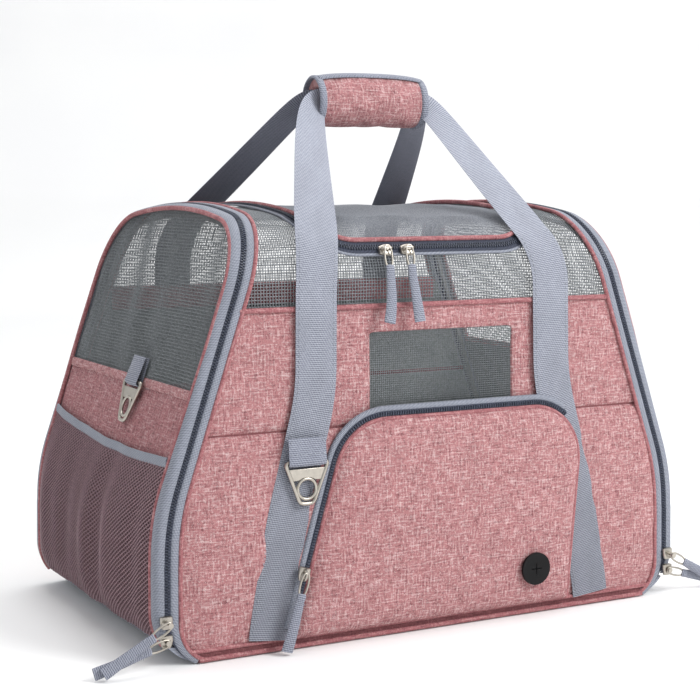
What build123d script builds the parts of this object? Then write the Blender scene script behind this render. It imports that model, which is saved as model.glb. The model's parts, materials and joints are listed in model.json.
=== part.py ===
from build123d import *
import math
import os

# Soft-sided pet carrier, millimetres, +Z up.
# X runs along the length, the pocket side faces -Y, and the origin is the
# middle of the underside, on the plane that the carrier stands on.

# ---- driving dimensions ----
LENGTH = 440.0            # overall length at the base, end bands included
DEPTH = 266.0             # overall depth at the base
SHOULDER_DEPTH = 258.0    # depth where the roof starts to turn over
SHOULDER_Z = 296.0        # height of the roof's edges before the crown
CROWN = 15.0              # rise of the roof's middle over its edges
SHOULDER_RADIUS = 52.0
ROOF_LENGTH = 264.0       # length of the front face at the top of its outline
ELBOW_Z = 98.0            # height where the ends start to lean inwards
ELBOW_RADIUS = 160.0
CORNER_RADIUS = 30.0      # bottom corners of the front face
END_BAND = 12.0           # how far each end stands out past the front face
OUTLINE_TOP_Z = 318.0
END_DRAFT = 1.0           # how far the ends run inwards between the base and the elbow

PADDED_WALL = 6.0
PLAIN_WALL = 4.0
NET = 1.2                 # thickness of every mesh panel
NET_INSET = 1.0
GAP = 0.4                 # clearance between pieces that move apart

LOWER_SEAM_Z = 155.0
UPPER_SEAM_Z = 240.0
FLOOR_THICK = 4.0
BOARD_THICK = 3.0
MAT_THICK = 9.0

WINDOW_LEFT, WINDOW_RIGHT = -54.0, 66.0
WINDOW_BOTTOM, WINDOW_TOP = 156.5, 221.0

FLAP_HALF = 94.0          # half length of the roof flap
FLAP_FRONT_Y = -118.0
FLAP_HINGE_Y = 100.0
FLAP_CORNER = 34.0
ZIP_WIDTH = 6.0
ZIP_TOP, ZIP_BOTTOM = 0.2, 2.4   # depth of a zip tape under the wall's face

SEAM_CORD, SEAM_CORD_HEIGHT = 2.2, 4.5
BASE_CORD, BASE_CORD_LOW, BASE_CORD_HIGH = 3.2, 0.8, 4.8
SIDE_CORD, SIDE_CORD_START, SIDE_CORD_END = 2.5, -3.0, 1.5
BODY_TAPE_END = 5.0       # the end's layers, counted outwards from the front face
DOOR_TAPE_END = 11.0
DOOR_CORD_END = 14.0
ROD, ROD_START = 3.0, 1.0

DOOR_HINGE_Z = 14.0       # bottom edge of each end door
DOOR_WALL = 4.0
DOOR_NET_Z = 183.0        # above it the end door is mesh
END_POCKET_TOP = 135.0
END_POCKET_DEPTH = 9.0

STRAP_WIDTH = 32.0
STRAP_THICK = 1.6
STRAP_LIFT = 2.4          # keeps the webbing clear of the seams under it
STRAP_TOP_X = 98.0        # from the middle of the carrier, over the shoulder
STRAP_FOOT_X = 139.0

GRIP_LENGTH = 94.0
GRIP_RADIUS = 19.0
GRIP_Y, GRIP_Z = -24.0, 390.0
LEG_TOP_X = 53.0
LEG_TOP_Z = 384.0

POCKET_BOTTOM_Z, POCKET_TOP_Z = 9.0, 160.0
POCKET_BACK = 4.5         # how far the front pocket's edge stands off the wall
POCKET_FRONT = 12.5
POCKET_WALL = 2.0
POCKET_LEFT, POCKET_RIGHT = -121.0, 114.0
POCKET_TOP_LEFT, POCKET_TOP_RIGHT = -76.0, 129.0
POCKET_CORNER = 42.0
POCKET_RIM = 2.5
OUTLET_X, OUTLET_Z, OUTLET_BORE, OUTLET_FLANGE = 79.0, 38.0, 8.0, 12.3
POCKET_SLIDER_RISE = 48.0   # along the pocket's left edge

SLIDER = (10.0, 9.0, 3.2)   # body of every zip slider
ROOF_SLIDER_ANGLE = 29.0    # how far round the shoulder the roof's sliders sit
BAIL_HEIGHT = 6.6
LINK_LENGTH = 18.0
PULL_LENGTH = 56.0
PULL_WIDTH = 9.0

RING_THICK = 2.5
RING_HOLE = 6.0
RING_BAR, RING_SPAN = 1.5, 36.0
RING_TOP_HALF, RING_TIP_HALF, RING_TIP = 17.5, 6.0, 31.0
RING_HOLE_DROP = 19.0
LOOP_WIDTH, LOOP_THICK = 24.0, 5.4
END_LOOP_HEIGHT, FRONT_LOOP_HEIGHT = 20.0, 18.0
END_LOOP_Y = -25.0
END_RING_Z = 183.0
FRONT_RING_X, FRONT_RING_Z = -110.0, 134.0

HALF_LENGTH = LENGTH / 2 - END_BAND
FRONT_Y = -DEPTH / 2
REACH = 400.0             # longer than the carrier, for cutting tools

os.makedirs("parts", exist_ok=True)


def save(name, *solids):
    """Write one node, whose solids stay separate."""
    pieces = []
    for solid in solids:
        pieces.extend(solid.solids())
    shape = pieces[0] if len(pieces) == 1 else Compound(children=pieces)
    export_step(shape, f"parts/{name}.step")


def block(x0, x1, y0, y1, z0, z1):
    size = Box(x1 - x0, y1 - y0, z1 - z0)
    return Pos((x0 + x1) / 2, (y0 + y1) / 2, (z0 + z1) / 2) * size


def mirrored(shape):
    """The same shape at the other end."""
    return mirror(shape, about=Plane.YZ)


# ---- the two outlines whose overlap is the carrier ----
def arch(inset):
    """Bar along X whose section is the end outline, moved in by inset.

    An inner one runs on below the base, so a layer between two has no bottom.
    """
    base = DEPTH / 2 - inset
    shoulder = SHOULDER_DEPTH / 2 - inset
    floor = -1.0 if inset > 0 else 0.0
    edge = SHOULDER_Z - inset
    sides = Polyline((-shoulder, edge), (-base, floor), (base, floor), (shoulder, edge))
    roof = ThreePointArc((shoulder, edge), (0, edge + CROWN), (-shoulder, edge))
    section = make_face(sides + roof)
    section = fillet(section.vertices().group_by(Axis.Y)[-1], SHOULDER_RADIUS - inset)
    return extrude(Plane.YZ * section, amount=REACH, both=True)


def lengthwise(extra):
    """Bar along Y whose section is the front outline, longer by extra at each end."""
    low = HALF_LENGTH + extra
    high = ROOF_LENGTH / 2 + extra
    right = [(low, 0), (low - END_DRAFT, ELBOW_Z), (high, OUTLINE_TOP_Z)]
    left = [(-x, z) for x, z in reversed(right)]
    section = make_face(Polyline(*right, *left, close=True))
    corners = section.vertices().group_by(Axis.Y)
    section = fillet(corners[0], CORNER_RADIUS + extra / 2)
    elbows = section.vertices().filter_by_position(Axis.Y, ELBOW_Z - 1, ELBOW_Z + 1)
    section = fillet(elbows, ELBOW_RADIUS)
    return extrude(Plane.XZ * section, amount=REACH, both=True)


def skin(outer, inner):
    """Wrapping layer between two insets of the end outline."""
    return arch(outer) - arch(inner)


def slab(z0, z1, y0=-REACH, y1=REACH):
    return block(-REACH, REACH, y0, y1, z0, z1)


FRONT_SIDE = (-REACH, -60.0)
BACK_SIDE = (60.0, REACH)
BODY = lengthwise(0)


# ---- shell ----
def wall_panel(side, z0, z1, thick):
    return skin(0, thick) & BODY & slab(z0, z1, *side)


def make_floor_panel():
    """Flat base whose ends turn up to the doors."""
    flat = BODY & arch(0) & slab(0, FLOOR_THICK)
    upturn = (BODY - lengthwise(-FLOOR_THICK)) & arch(PADDED_WALL) & slab(0, DOOR_HINGE_Z)
    return flat + upturn


def window_prism(grow=0.0):
    return block(WINDOW_LEFT - grow, WINDOW_RIGHT + grow, -REACH, FRONT_Y / 2,
                 WINDOW_BOTTOM - grow, WINDOW_TOP + grow)


def make_window_net():
    return skin(NET_INSET, NET_INSET + NET) & window_prism()


def flap_prism(grow):
    """Upright prism on the flap's plan, whose front corners are round."""
    length = 2 * (FLAP_HALF + grow)
    front = FLAP_FRONT_Y - grow
    plan = make_face(Polyline((-length / 2, FLAP_HINGE_Y), (-length / 2, front), (length / 2, front),
                              (length / 2, FLAP_HINGE_Y), close=True))
    plan = fillet(plan.vertices().group_by(Axis.Y)[0], FLAP_CORNER + grow)
    return Pos(0, 0, UPPER_SEAM_Z) * extrude(plan, amount=REACH)


def make_roof_net():
    net = skin(NET_INSET, NET_INSET + NET) & BODY & slab(UPPER_SEAM_Z, REACH)
    fold = block(-FLAP_HALF, FLAP_HALF, FLAP_HINGE_Y, FLAP_HINGE_Y + GAP, UPPER_SEAM_Z, REACH)
    return net - flap_prism(ZIP_WIDTH) - fold


def make_roof_zip():
    """Fixed half of the roof zip."""
    ring = flap_prism(ZIP_WIDTH) - flap_prism(ZIP_WIDTH / 2 + GAP / 2)
    return skin(ZIP_TOP, ZIP_BOTTOM) & ring & slab(UPPER_SEAM_Z, REACH)


def make_seam_piping():
    """Piping where the fabric meets the roof mesh, on both sides."""
    cord = skin(-SEAM_CORD, 0) & lengthwise(SIDE_CORD_START - GAP)
    band = slab(UPPER_SEAM_Z - SEAM_CORD_HEIGHT / 2, UPPER_SEAM_Z + SEAM_CORD_HEIGHT / 2)
    return (cord & band).solids()


def make_base_piping():
    reach = HALF_LENGTH - CORNER_RADIUS
    band = skin(-BASE_CORD, 0) & block(-reach, reach, -REACH, REACH, BASE_CORD_LOW, BASE_CORD_HIGH)
    return band.solids()


def make_side_piping():
    """Piping along both ends of the front, roof and back."""
    ring = skin(-SIDE_CORD, 0) & (lengthwise(SIDE_CORD_END) - lengthwise(SIDE_CORD_START))
    ring = ring & slab(BASE_CORD_HIGH + 1.2, REACH)
    return ring.solids()


def left_of(shape):
    """Keep the left half."""
    return shape & block(-REACH, 0, -REACH, REACH, -REACH, REACH)


def make_side_band():
    """Tape and fixed zip half on each end of the wrap, with the sill under the door."""
    ring = skin(0, PADDED_WALL) & (lengthwise(BODY_TAPE_END) - BODY) & slab(DOOR_HINGE_Z - 2, REACH)
    sill = (lengthwise(END_BAND) - BODY) & arch(0) & slab(0, DOOR_HINGE_Z - GAP)
    left = left_of(ring) + left_of(sill)
    return [left, mirrored(left)]


def make_arch_rod():
    """Spring wire that holds each end's arch open."""
    depth = PADDED_WALL + GAP
    ring = skin(depth, depth + ROD) & (lengthwise(ROD_START + ROD) - lengthwise(ROD_START))
    left = left_of(ring & slab(DOOR_HINGE_Z + 6, REACH))
    return [left, mirrored(left)]


def make_base_board():
    bottom = FLOOR_THICK + GAP / 2
    return lengthwise(-6) & arch(PADDED_WALL + 1) & slab(bottom, bottom + BOARD_THICK)


def make_floor_mat():
    bottom = FLOOR_THICK + BOARD_THICK + GAP
    return lengthwise(-7) & arch(PADDED_WALL + 2) & slab(bottom, bottom + MAT_THICK)


def make_tether():
    """Short safety strap on the inside of the front wall, with its snap clip."""
    strap = Pos(-160, FRONT_Y + PADDED_WALL + 4, 158) * Box(15, 1.6, 70)
    clip = Pos(-160, FRONT_Y + PADDED_WALL + 4, 112) * (Box(14, 3, 22) - Box(9, 4, 15))
    return [strap, clip]


# ---- straps and handle ----
def strap_outline():
    """Front view of the left strap: slanted low, upright over the shoulder."""
    centre = [(-STRAP_FOOT_X, 7), (-124, 90), (-STRAP_TOP_X - 2, 180), (-STRAP_TOP_X, OUTLINE_TOP_Z)]
    half = STRAP_WIDTH / 2
    inner = [(x + half, z) for x, z in centre]
    outer = [(x - half, z) for x, z in reversed(centre)]
    return extrude(Plane.XZ * make_face(Polyline(*inner, *outer, close=True)), amount=REACH, both=True)


def shoulder_centre():
    """Distance from the middle plane, and height, of the shoulder's centre of curvature."""
    crown_radius = ((SHOULDER_DEPTH / 2) ** 2 + CROWN ** 2) / (2 * CROWN)
    out = SHOULDER_DEPTH / 2 - SHOULDER_RADIUS + 0.6
    rise = math.sqrt((crown_radius - SHOULDER_RADIUS) ** 2 - out ** 2)
    return out, SHOULDER_Z + CROWN - crown_radius + rise


def leg_foot(side):
    """Point on the shoulder where the strap leaves it along the tangent to the grip."""
    radius = SHOULDER_RADIUS + STRAP_LIFT + STRAP_THICK / 2
    out, height = shoulder_centre()
    run = side * GRIP_Y + 6 - out
    rise = LEG_TOP_Z - height
    turn = math.atan2(rise, run) - math.acos(radius / math.hypot(run, rise))
    return side * (out + radius * math.cos(turn)), height + radius * math.sin(turn)


def make_straps(side):
    """One face's two straps, sewn up to the shoulder."""
    foot_z = leg_foot(side)[1]
    along = skin(-STRAP_LIFT - STRAP_THICK, -STRAP_LIFT) & strap_outline()
    ends = (0, side * REACH)
    strap = (along & block(-REACH, 0, min(ends), max(ends), 5.5, foot_z)).solids()[0]
    return [strap, mirrored(strap)]


def make_legs(side):
    """Free straps from the shoulder to the two ends of the grip."""
    foot_y, foot_z = leg_foot(side)
    foot = Vector(-STRAP_TOP_X, foot_y, foot_z)
    head = Vector(-LEG_TOP_X, GRIP_Y + side * 6, LEG_TOP_Z)
    run = head - foot
    plane = Plane(origin=(foot + head) / 2, x_dir=run, z_dir=Vector(1, 0, 0).cross(run))
    leg = plane * Box(run.length, STRAP_WIDTH * 0.8, STRAP_THICK)
    room = block(-REACH, -GRIP_LENGTH / 2 - GAP, -REACH, REACH, foot_z + GAP, REACH)
    left = (leg & room).solids()[0]
    return [left, mirrored(left)]


def make_grip_wrap():
    tube = Cylinder(GRIP_RADIUS, GRIP_LENGTH - 8, rotation=(0, 90, 0))
    hollow = Cylinder(GRIP_RADIUS - 6, GRIP_LENGTH, rotation=(0, 90, 0))
    return Pos(0, GRIP_Y, GRIP_Z) * (tube - hollow)


def make_grip_binding():
    ring = Cylinder(GRIP_RADIUS + 1, 4, rotation=(0, 90, 0)) - Cylinder(GRIP_RADIUS - 6, 4, rotation=(0, 90, 0))
    end = GRIP_LENGTH / 2 - 2
    return [Pos(s * end, GRIP_Y, GRIP_Z) * ring for s in (-1, 1)]


# ---- roof flap ----
def make_flap_net():
    return skin(NET_INSET, NET_INSET + NET) & flap_prism(-4)


def make_flap_piping():
    return skin(-1.5, 3) & (flap_prism(0) - flap_prism(-4))


def make_flap_zip():
    return skin(ZIP_TOP, ZIP_BOTTOM) & (flap_prism(ZIP_WIDTH / 2 - GAP / 2) - flap_prism(0))


# ---- end doors ----
def make_door_panel():
    wall = (lengthwise(END_BAND) - lengthwise(END_BAND - DOOR_WALL)) & arch(PADDED_WALL)
    return left_of(wall & slab(DOOR_HINGE_Z, DOOR_NET_Z))


def make_door_net():
    face = END_BAND - NET_INSET
    sheet = (lengthwise(face) - lengthwise(face - NET)) & arch(PADDED_WALL)
    return left_of(sheet & slab(DOOR_NET_Z, REACH))


def make_door_band():
    """Tape and moving zip half around the door, clear of the sill when the door swings."""
    ring = skin(GAP, PADDED_WALL) & (lengthwise(DOOR_TAPE_END) - lengthwise(BODY_TAPE_END + GAP))
    return left_of(ring & slab(DOOR_HINGE_Z + 6, REACH))


def make_door_piping():
    ring = skin(GAP, PADDED_WALL) & (lengthwise(DOOR_CORD_END) - lengthwise(DOOR_TAPE_END))
    return left_of(ring & slab(DOOR_HINGE_Z + 2, REACH))


def make_end_pocket():
    """Mesh pocket on the door, open at the top."""
    base = END_BAND + GAP / 2
    outer = (lengthwise(base + END_POCKET_DEPTH) - lengthwise(base)) & arch(10)
    inner = (lengthwise(base + END_POCKET_DEPTH - NET) - lengthwise(base)) & arch(12)
    cup = outer & slab(18, END_POCKET_TOP)
    return left_of(cup - (inner & slab(20, REACH)))


def make_pocket_binding():
    base = END_BAND + GAP / 2 + END_POCKET_DEPTH
    strip = (lengthwise(base + 0.8) - lengthwise(base - NET)) & arch(10)
    return left_of(strip & slab(END_POCKET_TOP, END_POCKET_TOP + 8))


# ---- rings and the loops that hold them ----
def ring_plate():
    """Ring in its own plane: bar along X at the origin, plate hanging towards -Y."""
    bar = Rot(0, 90, 0) * Cylinder(RING_BAR, RING_SPAN)
    outline = make_face(Polyline((-RING_TOP_HALF, -4.5), (RING_TOP_HALF, -4.5), (RING_TIP_HALF, -RING_TIP),
                                 (-RING_TIP_HALF, -RING_TIP), close=True))
    outline = fillet(outline.vertices(), 3.5) - Pos(0, -RING_HOLE_DROP) * Circle(RING_HOLE)
    plate = extrude(outline, amount=RING_THICK / 2, both=True)
    ears = [Pos(s * (RING_TOP_HALF - 2), -3) * Box(4, 7, RING_THICK) for s in (-1, 1)]
    return bar + plate + ears[0] + ears[1]


def ring_loop(height):
    """Webbing loop folded round a ring's bar, in the ring's plane."""
    loop = Pos(0, (height - LOOP_THICK) / 2) * Box(LOOP_WIDTH, height, LOOP_THICK)
    return loop - Rot(0, 90, 0) * Cylinder(RING_BAR + GAP, RING_SPAN)


def end_lean():
    return (HALF_LENGTH - END_DRAFT - ROOF_LENGTH / 2) / (OUTLINE_TOP_Z - ELBOW_Z)


def end_ring_plane():
    """On the left door, parallel to its leaning face."""
    lean = end_lean()
    face_x = -(HALF_LENGTH - END_DRAFT - lean * (END_RING_Z - ELBOW_Z) + END_BAND)
    return Plane(origin=(face_x - 4.0, END_LOOP_Y, END_RING_Z), x_dir=(0, -1, 0), z_dir=(-1, 0, lean))


def front_ring_plane():
    """Over the left front strap."""
    y = FRONT_Y - STRAP_LIFT - STRAP_THICK - 2.0
    return Plane(origin=(FRONT_RING_X, y, FRONT_RING_Z), x_dir=(1, 0, 0), z_dir=(0, -1, 0))


# ---- front pocket ----
def pocket_prism(grow):
    """Front view of the pocket, moved out by grow."""
    base = POCKET_BOTTOM_Z - grow
    top = POCKET_TOP_Z + grow
    outline = make_face(Polyline((POCKET_LEFT - grow, base), (POCKET_RIGHT + grow, base),
                                 (POCKET_TOP_RIGHT + grow, top), (POCKET_TOP_LEFT - grow, top), close=True))
    outline = fillet(outline.vertices().group_by(Axis.Y)[-1], POCKET_CORNER + grow)
    return extrude(Plane.XZ * outline, amount=REACH)


def make_front_pocket():
    wall = skin(-POCKET_FRONT, POCKET_WALL - POCKET_FRONT) & pocket_prism(0)
    rim = skin(-POCKET_FRONT, -POCKET_BACK) & (pocket_prism(0) - pocket_prism(-POCKET_RIM))
    return wall + rim - outlet_axis() * Cylinder(OUTLET_BORE, 60)


def outlet_axis():
    return Pos(OUTLET_X, FRONT_Y - POCKET_FRONT + 1, OUTLET_Z) * Rot(90, 0, 0)


def make_outlet():
    """Rubber grommet with a cross slit, for a cable."""
    flange = Pos(0, 0, 2.6) * Cylinder(OUTLET_FLANGE, 2.0)
    neck = Cylinder(OUTLET_BORE - 0.1, 4)
    slits = Box(9, 0.6, 20) + Box(0.6, 9, 20)
    return outlet_axis() * (flange + neck - slits)


def make_pocket_zip():
    """Zip along the pocket's left edge and top."""
    ring = pocket_prism(5) - pocket_prism(0.6)
    span = block(-REACH, 100, -REACH, 0, 45, REACH)
    return skin(-POCKET_BACK - 2, -POCKET_BACK + GAP / 2) & ring & span


# ---- zip sliders and their pulls ----
def bail_slider():
    """Slider on the plane z = 0: a bar along X stands over it on two posts."""
    body = Pos(0, 0, SLIDER[2] / 2 + GAP) * Box(*SLIDER)
    posts = [Pos(s * 4, 0, BAIL_HEIGHT / 2 + 1) * Box(1.4, 1.8, BAIL_HEIGHT - 1.2) for s in (-1, 1)]
    bar = Pos(0, 0, BAIL_HEIGHT) * Rot(0, 90, 0) * Cylinder(0.8, 9.4)
    return body + posts[0] + posts[1] + bar


def pin_slider(reach):
    """Slider on the plane z = 0 whose pull turns on a headed pin along Z."""
    body = Pos(0, 0, SLIDER[2] / 2 + GAP) * Box(*SLIDER)
    pin = Pos(0, 0, reach / 2 + 1) * Cylinder(0.9, reach)
    head = Pos(0, 0, reach + 1) * Cylinder(2.0, 0.8)
    return body + pin + head


def pull(eye_axis):
    """Metal link with its eye at the origin, and a webbing tab, hanging towards -Y."""
    thick = 1.6
    plate = Pos(0, -1 - LINK_LENGTH / 2) * Box(5.4, LINK_LENGTH - 2, thick)
    turn, width = (Rot(0, 90, 0), 5.4) if eye_axis == "X" else (Rot(0, 0, 0), thick)
    eye = turn * Cylinder(2.1, width)
    link = plate + eye - turn * Cylinder(0.9 + GAP / 2, 20)
    tab_length = PULL_LENGTH - LINK_LENGTH
    tab = Pos(0, -LINK_LENGTH - tab_length / 2) * Box(PULL_WIDTH, tab_length, thick)
    return [link, tab]


def roof_slider_plane(x):
    """On the shoulder, just below the flap's edge."""
    turn = math.radians(ROOF_SLIDER_ANGLE)
    out, height = shoulder_centre()
    y = -(out + SHOULDER_RADIUS * math.cos(turn))
    z = height + SHOULDER_RADIUS * math.sin(turn)
    return Plane(origin=(x, y, z), x_dir=(1, 0, 0), z_dir=(0, -math.cos(turn), math.sin(turn)))


def roof_pull_plane(x):
    """Hangs a little out from upright, against the front."""
    turn = math.radians(14)
    base = roof_slider_plane(x)
    origin = base.origin + base.z_dir * BAIL_HEIGHT
    return Plane(origin=origin, x_dir=(1, 0, 0), z_dir=(0, -math.cos(turn), math.sin(turn)))


def pocket_leg():
    """Unit vector up the pocket's left edge."""
    return Vector(POCKET_TOP_LEFT - POCKET_LEFT, 0, POCKET_TOP_Z - POCKET_BOTTOM_Z).normalized()


def pocket_slider_plane(lift):
    leg = pocket_leg()
    start = Vector(POCKET_LEFT - 6.4, FRONT_Y + 0.5 - POCKET_BACK - 2, POCKET_BOTTOM_Z)
    start = start + leg * POCKET_SLIDER_RISE
    return Plane(origin=start + Vector(0, -lift, 0), x_dir=Vector(leg.Z, 0, -leg.X), z_dir=(0, -1, 0))


# height on the edge, length of the pin, and slope of the pull, in degrees
CORNER_SLIDERS = {"upper": (32.0, 9.5, 28.0), "lower": (19.0, 5.8, 12.5)}
CORNER_SLIDER_X = -HALF_LENGTH - 6.5


def corner_slider_plane(z):
    """On the front edge of the left band."""
    return Plane(origin=(CORNER_SLIDER_X, FRONT_Y - 0.3, z), x_dir=(1, 0, 0), z_dir=(0, -1, 0))


def corner_pull(z, reach, slope):
    """Slopes down from its pin to the floor, away from the carrier."""
    angle = math.radians(slope)
    origin = Vector(CORNER_SLIDER_X, FRONT_Y - 0.3 - reach + 0.8, z)
    down = Vector(math.cos(angle), 0, math.sin(angle))
    place = Plane(origin=origin, x_dir=Vector(down.Z, 0, -down.X), z_dir=(0, -1, 0))
    return [place * piece for piece in pull("Z")]


# ---- nodes ----
save("floor_panel", make_floor_panel())
save("base_board", make_base_board())
save("floor_mat", make_floor_mat())
save("front_lower_panel", wall_panel(FRONT_SIDE, FLOOR_THICK, LOWER_SEAM_Z, PADDED_WALL))
save("front_upper_panel", wall_panel(FRONT_SIDE, LOWER_SEAM_Z, UPPER_SEAM_Z, PLAIN_WALL) - window_prism())
save("front_window_net", make_window_net())
save("back_lower_panel", wall_panel(BACK_SIDE, FLOOR_THICK, LOWER_SEAM_Z, PADDED_WALL))
save("back_upper_panel", wall_panel(BACK_SIDE, LOWER_SEAM_Z, UPPER_SEAM_Z, PLAIN_WALL))
save("roof_net", make_roof_net())
save("roof_zip", make_roof_zip())
save("seam_piping", *make_seam_piping())
save("base_piping", *make_base_piping())
save("side_piping", *make_side_piping())
save("side_bands", *make_side_band())
save("arch_rods", *make_arch_rod())
save("tether", *make_tether())
save("pocket_zip", make_pocket_zip())

for face, side in (("front", -1), ("back", 1)):
    save(f"{face}_straps", *make_straps(side))
    save(f"{face}_legs", *make_legs(side))
save("grip_wrap", make_grip_wrap())
save("grip_binding", *make_grip_binding())

save("flap_net", make_flap_net())
save("flap_piping", make_flap_piping())
save("flap_zip", make_flap_zip())

left_end = {
    "door_panel": [make_door_panel()],
    "door_net": [make_door_net()],
    "door_band": [make_door_band()],
    "door_piping": [make_door_piping()],
    "end_pocket": [make_end_pocket()],
    "pocket_binding": [make_pocket_binding()],
    "ring_loop": [end_ring_plane() * ring_loop(END_LOOP_HEIGHT)],
    "ring": [end_ring_plane() * ring_plate()],
}
for place, (height, reach, slope) in CORNER_SLIDERS.items():
    left_end[f"{place}_slider"] = [corner_slider_plane(height) * pin_slider(reach)]
    left_end[f"{place}_pull"] = corner_pull(height, reach, slope)
for name, solids in left_end.items():
    save(f"left_{name}", *solids)
    save(f"right_{name}", *[mirrored(solid) for solid in solids])

save("strap_loop", front_ring_plane() * ring_loop(FRONT_LOOP_HEIGHT))
save("strap_ring", front_ring_plane() * ring_plate())

save("front_pocket", make_front_pocket())
save("cable_outlet", make_outlet())
save("pocket_slider", pocket_slider_plane(0) * bail_slider())
save("pocket_pull", *[pocket_slider_plane(BAIL_HEIGHT) * piece for piece in pull("X")])

for name, x in (("roof_slider_left", -40.0), ("roof_slider_right", -22.0)):
    save(name, roof_slider_plane(x) * bail_slider())
    save(name.replace("slider", "pull"), *[roof_pull_plane(x) * piece for piece in pull("X")])
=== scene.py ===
import bmesh
import bpy
import json
import math
import numpy as np
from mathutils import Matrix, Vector, noise


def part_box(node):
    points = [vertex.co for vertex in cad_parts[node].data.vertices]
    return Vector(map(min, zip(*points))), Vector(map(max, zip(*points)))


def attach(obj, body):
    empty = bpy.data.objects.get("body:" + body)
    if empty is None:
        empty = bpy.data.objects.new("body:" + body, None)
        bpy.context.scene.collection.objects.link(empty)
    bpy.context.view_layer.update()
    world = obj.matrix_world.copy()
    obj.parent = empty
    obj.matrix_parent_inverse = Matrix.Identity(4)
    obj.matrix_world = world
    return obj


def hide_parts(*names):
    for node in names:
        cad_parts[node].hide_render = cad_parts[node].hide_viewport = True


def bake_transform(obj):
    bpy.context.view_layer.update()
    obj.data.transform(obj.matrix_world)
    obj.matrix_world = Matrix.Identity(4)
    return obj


# Soft-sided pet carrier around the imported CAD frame. Points are worked out in millimetres in the
# frame's axes and become metres when a mesh is made. X runs along the length, the front faces -Y.

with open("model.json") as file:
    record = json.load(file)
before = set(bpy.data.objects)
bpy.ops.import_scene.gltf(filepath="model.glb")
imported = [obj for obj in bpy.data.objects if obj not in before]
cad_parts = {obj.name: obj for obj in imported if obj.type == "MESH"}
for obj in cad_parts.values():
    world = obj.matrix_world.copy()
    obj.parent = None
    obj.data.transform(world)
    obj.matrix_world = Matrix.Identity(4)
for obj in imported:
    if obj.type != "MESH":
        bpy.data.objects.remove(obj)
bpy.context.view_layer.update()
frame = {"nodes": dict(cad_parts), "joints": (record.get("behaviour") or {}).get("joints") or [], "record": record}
JOINTS = {joint["name"]: joint for joint in frame["joints"]}
BODIES = frame["record"]["behaviour"]["bodies"]
BODY_OF = {node: body for body, nodes in BODIES.items() for node in nodes}
MM = 0.001
FACES = (("front", -1), ("back", 1))   # name, and the sign of y

# ---- the CAD's driving dimensions, mm ----
HALF_LENGTH, HALF_DEPTH, SHOULDER_DEPTH = 208.0, 133.0, 129.0
EDGE_Z, CROWN, SHOULDER_RADIUS = 296.0, 15.0, 52.0
ELBOW_Z, ELBOW_RADIUS, CORNER_RADIUS = 98.0, 160.0, 30.0
OUTLINE_TOP_X, OUTLINE_TOP_Z = 132.0, 318.0
DOOR = 12.0
WALL_BOTTOM, LOWER_SEAM, UPPER_SEAM, DOOR_SEAM, DOOR_BOTTOM = 4.0, 155.0, 240.0, 183.0, 14.0
STRAP_WIDTH, STRAP_LIFT, STRAP_THICK = 32.0, 3.2, 1.6
FLAP_HALF, FLAP_CORNER = 94.0, 34.0
TOOTH_PITCH, TOOTH_SHIFT = 2.0, 0.9   # along a zip, and to each side of its middle
FLAP_BACK = JOINTS["flap_swing"]["pos_m"][1] / MM
FLAP_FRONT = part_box("flap_net")[0].y / MM - 4.0
WINDOW = (-54.0, 66.0, 156.6, 221.0)   # left, right, bottom, top
POCKET = ((-121.0, 9.0), (-76.0, 160.0), (129.0, 160.0), (114.0, 9.0))
POCKET_RADIUS = 42.0
DOOR_UP, DOOR_OUT = (0.3227, 0, 0.9465), (-0.9465, 0, 0.3227)
RIGHT_UP, RIGHT_OUT = (-0.3227, 0, 0.9465), (0.9465, 0, 0.3227)
FRONT_UP, FRONT_OUT = (0, 0, 1), (0, -1, 0)

# ---- the two outlines ----
SIDE_LENGTH = math.hypot(EDGE_Z, HALF_DEPTH - SHOULDER_DEPTH)
SIDE = ((SHOULDER_DEPTH - HALF_DEPTH) / SIDE_LENGTH, EDGE_Z / SIDE_LENGTH)
CROWN_RADIUS = (SHOULDER_DEPTH ** 2 + CROWN ** 2) / (2 * CROWN)
CROWN_CENTRE = EDGE_Z + CROWN - CROWN_RADIUS


def shoulder_point():
    """Centre of the shoulder's arc, and the length of straight side below it."""
    start = (HALF_DEPTH - SHOULDER_RADIUS * SIDE[1], SHOULDER_RADIUS * SIDE[0])
    reach = CROWN_RADIUS - SHOULDER_RADIUS
    rise = start[1] - CROWN_CENTRE
    half = start[0] * SIDE[0] + rise * SIDE[1]
    length = -half + math.sqrt(half ** 2 + reach ** 2 - start[0] ** 2 - rise ** 2)
    return start[0] + length * SIDE[0], start[1] + length * SIDE[1], length


SHOULDER_Y, SHOULDER_Z, STRAIGHT = shoulder_point()
CROWN_TURN = math.atan2(SHOULDER_Y, SHOULDER_Z - CROWN_CENTRE)
CROWN_ARC = CROWN_TURN * CROWN_RADIUS
SIDE_TURN = math.pi / 2 - math.atan2(-SIDE[0], SIDE[1])
SHOULDER_ARC = (SIDE_TURN - CROWN_TURN) * SHOULDER_RADIUS
HALF_WRAP = CROWN_ARC + SHOULDER_ARC + STRAIGHT


def stack(*columns):
    return np.stack(np.broadcast_arrays(*columns), axis=-1)


def unit(rows):
    return rows / np.maximum(np.linalg.norm(rows, axis=-1, keepdims=True), 1e-9)


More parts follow.
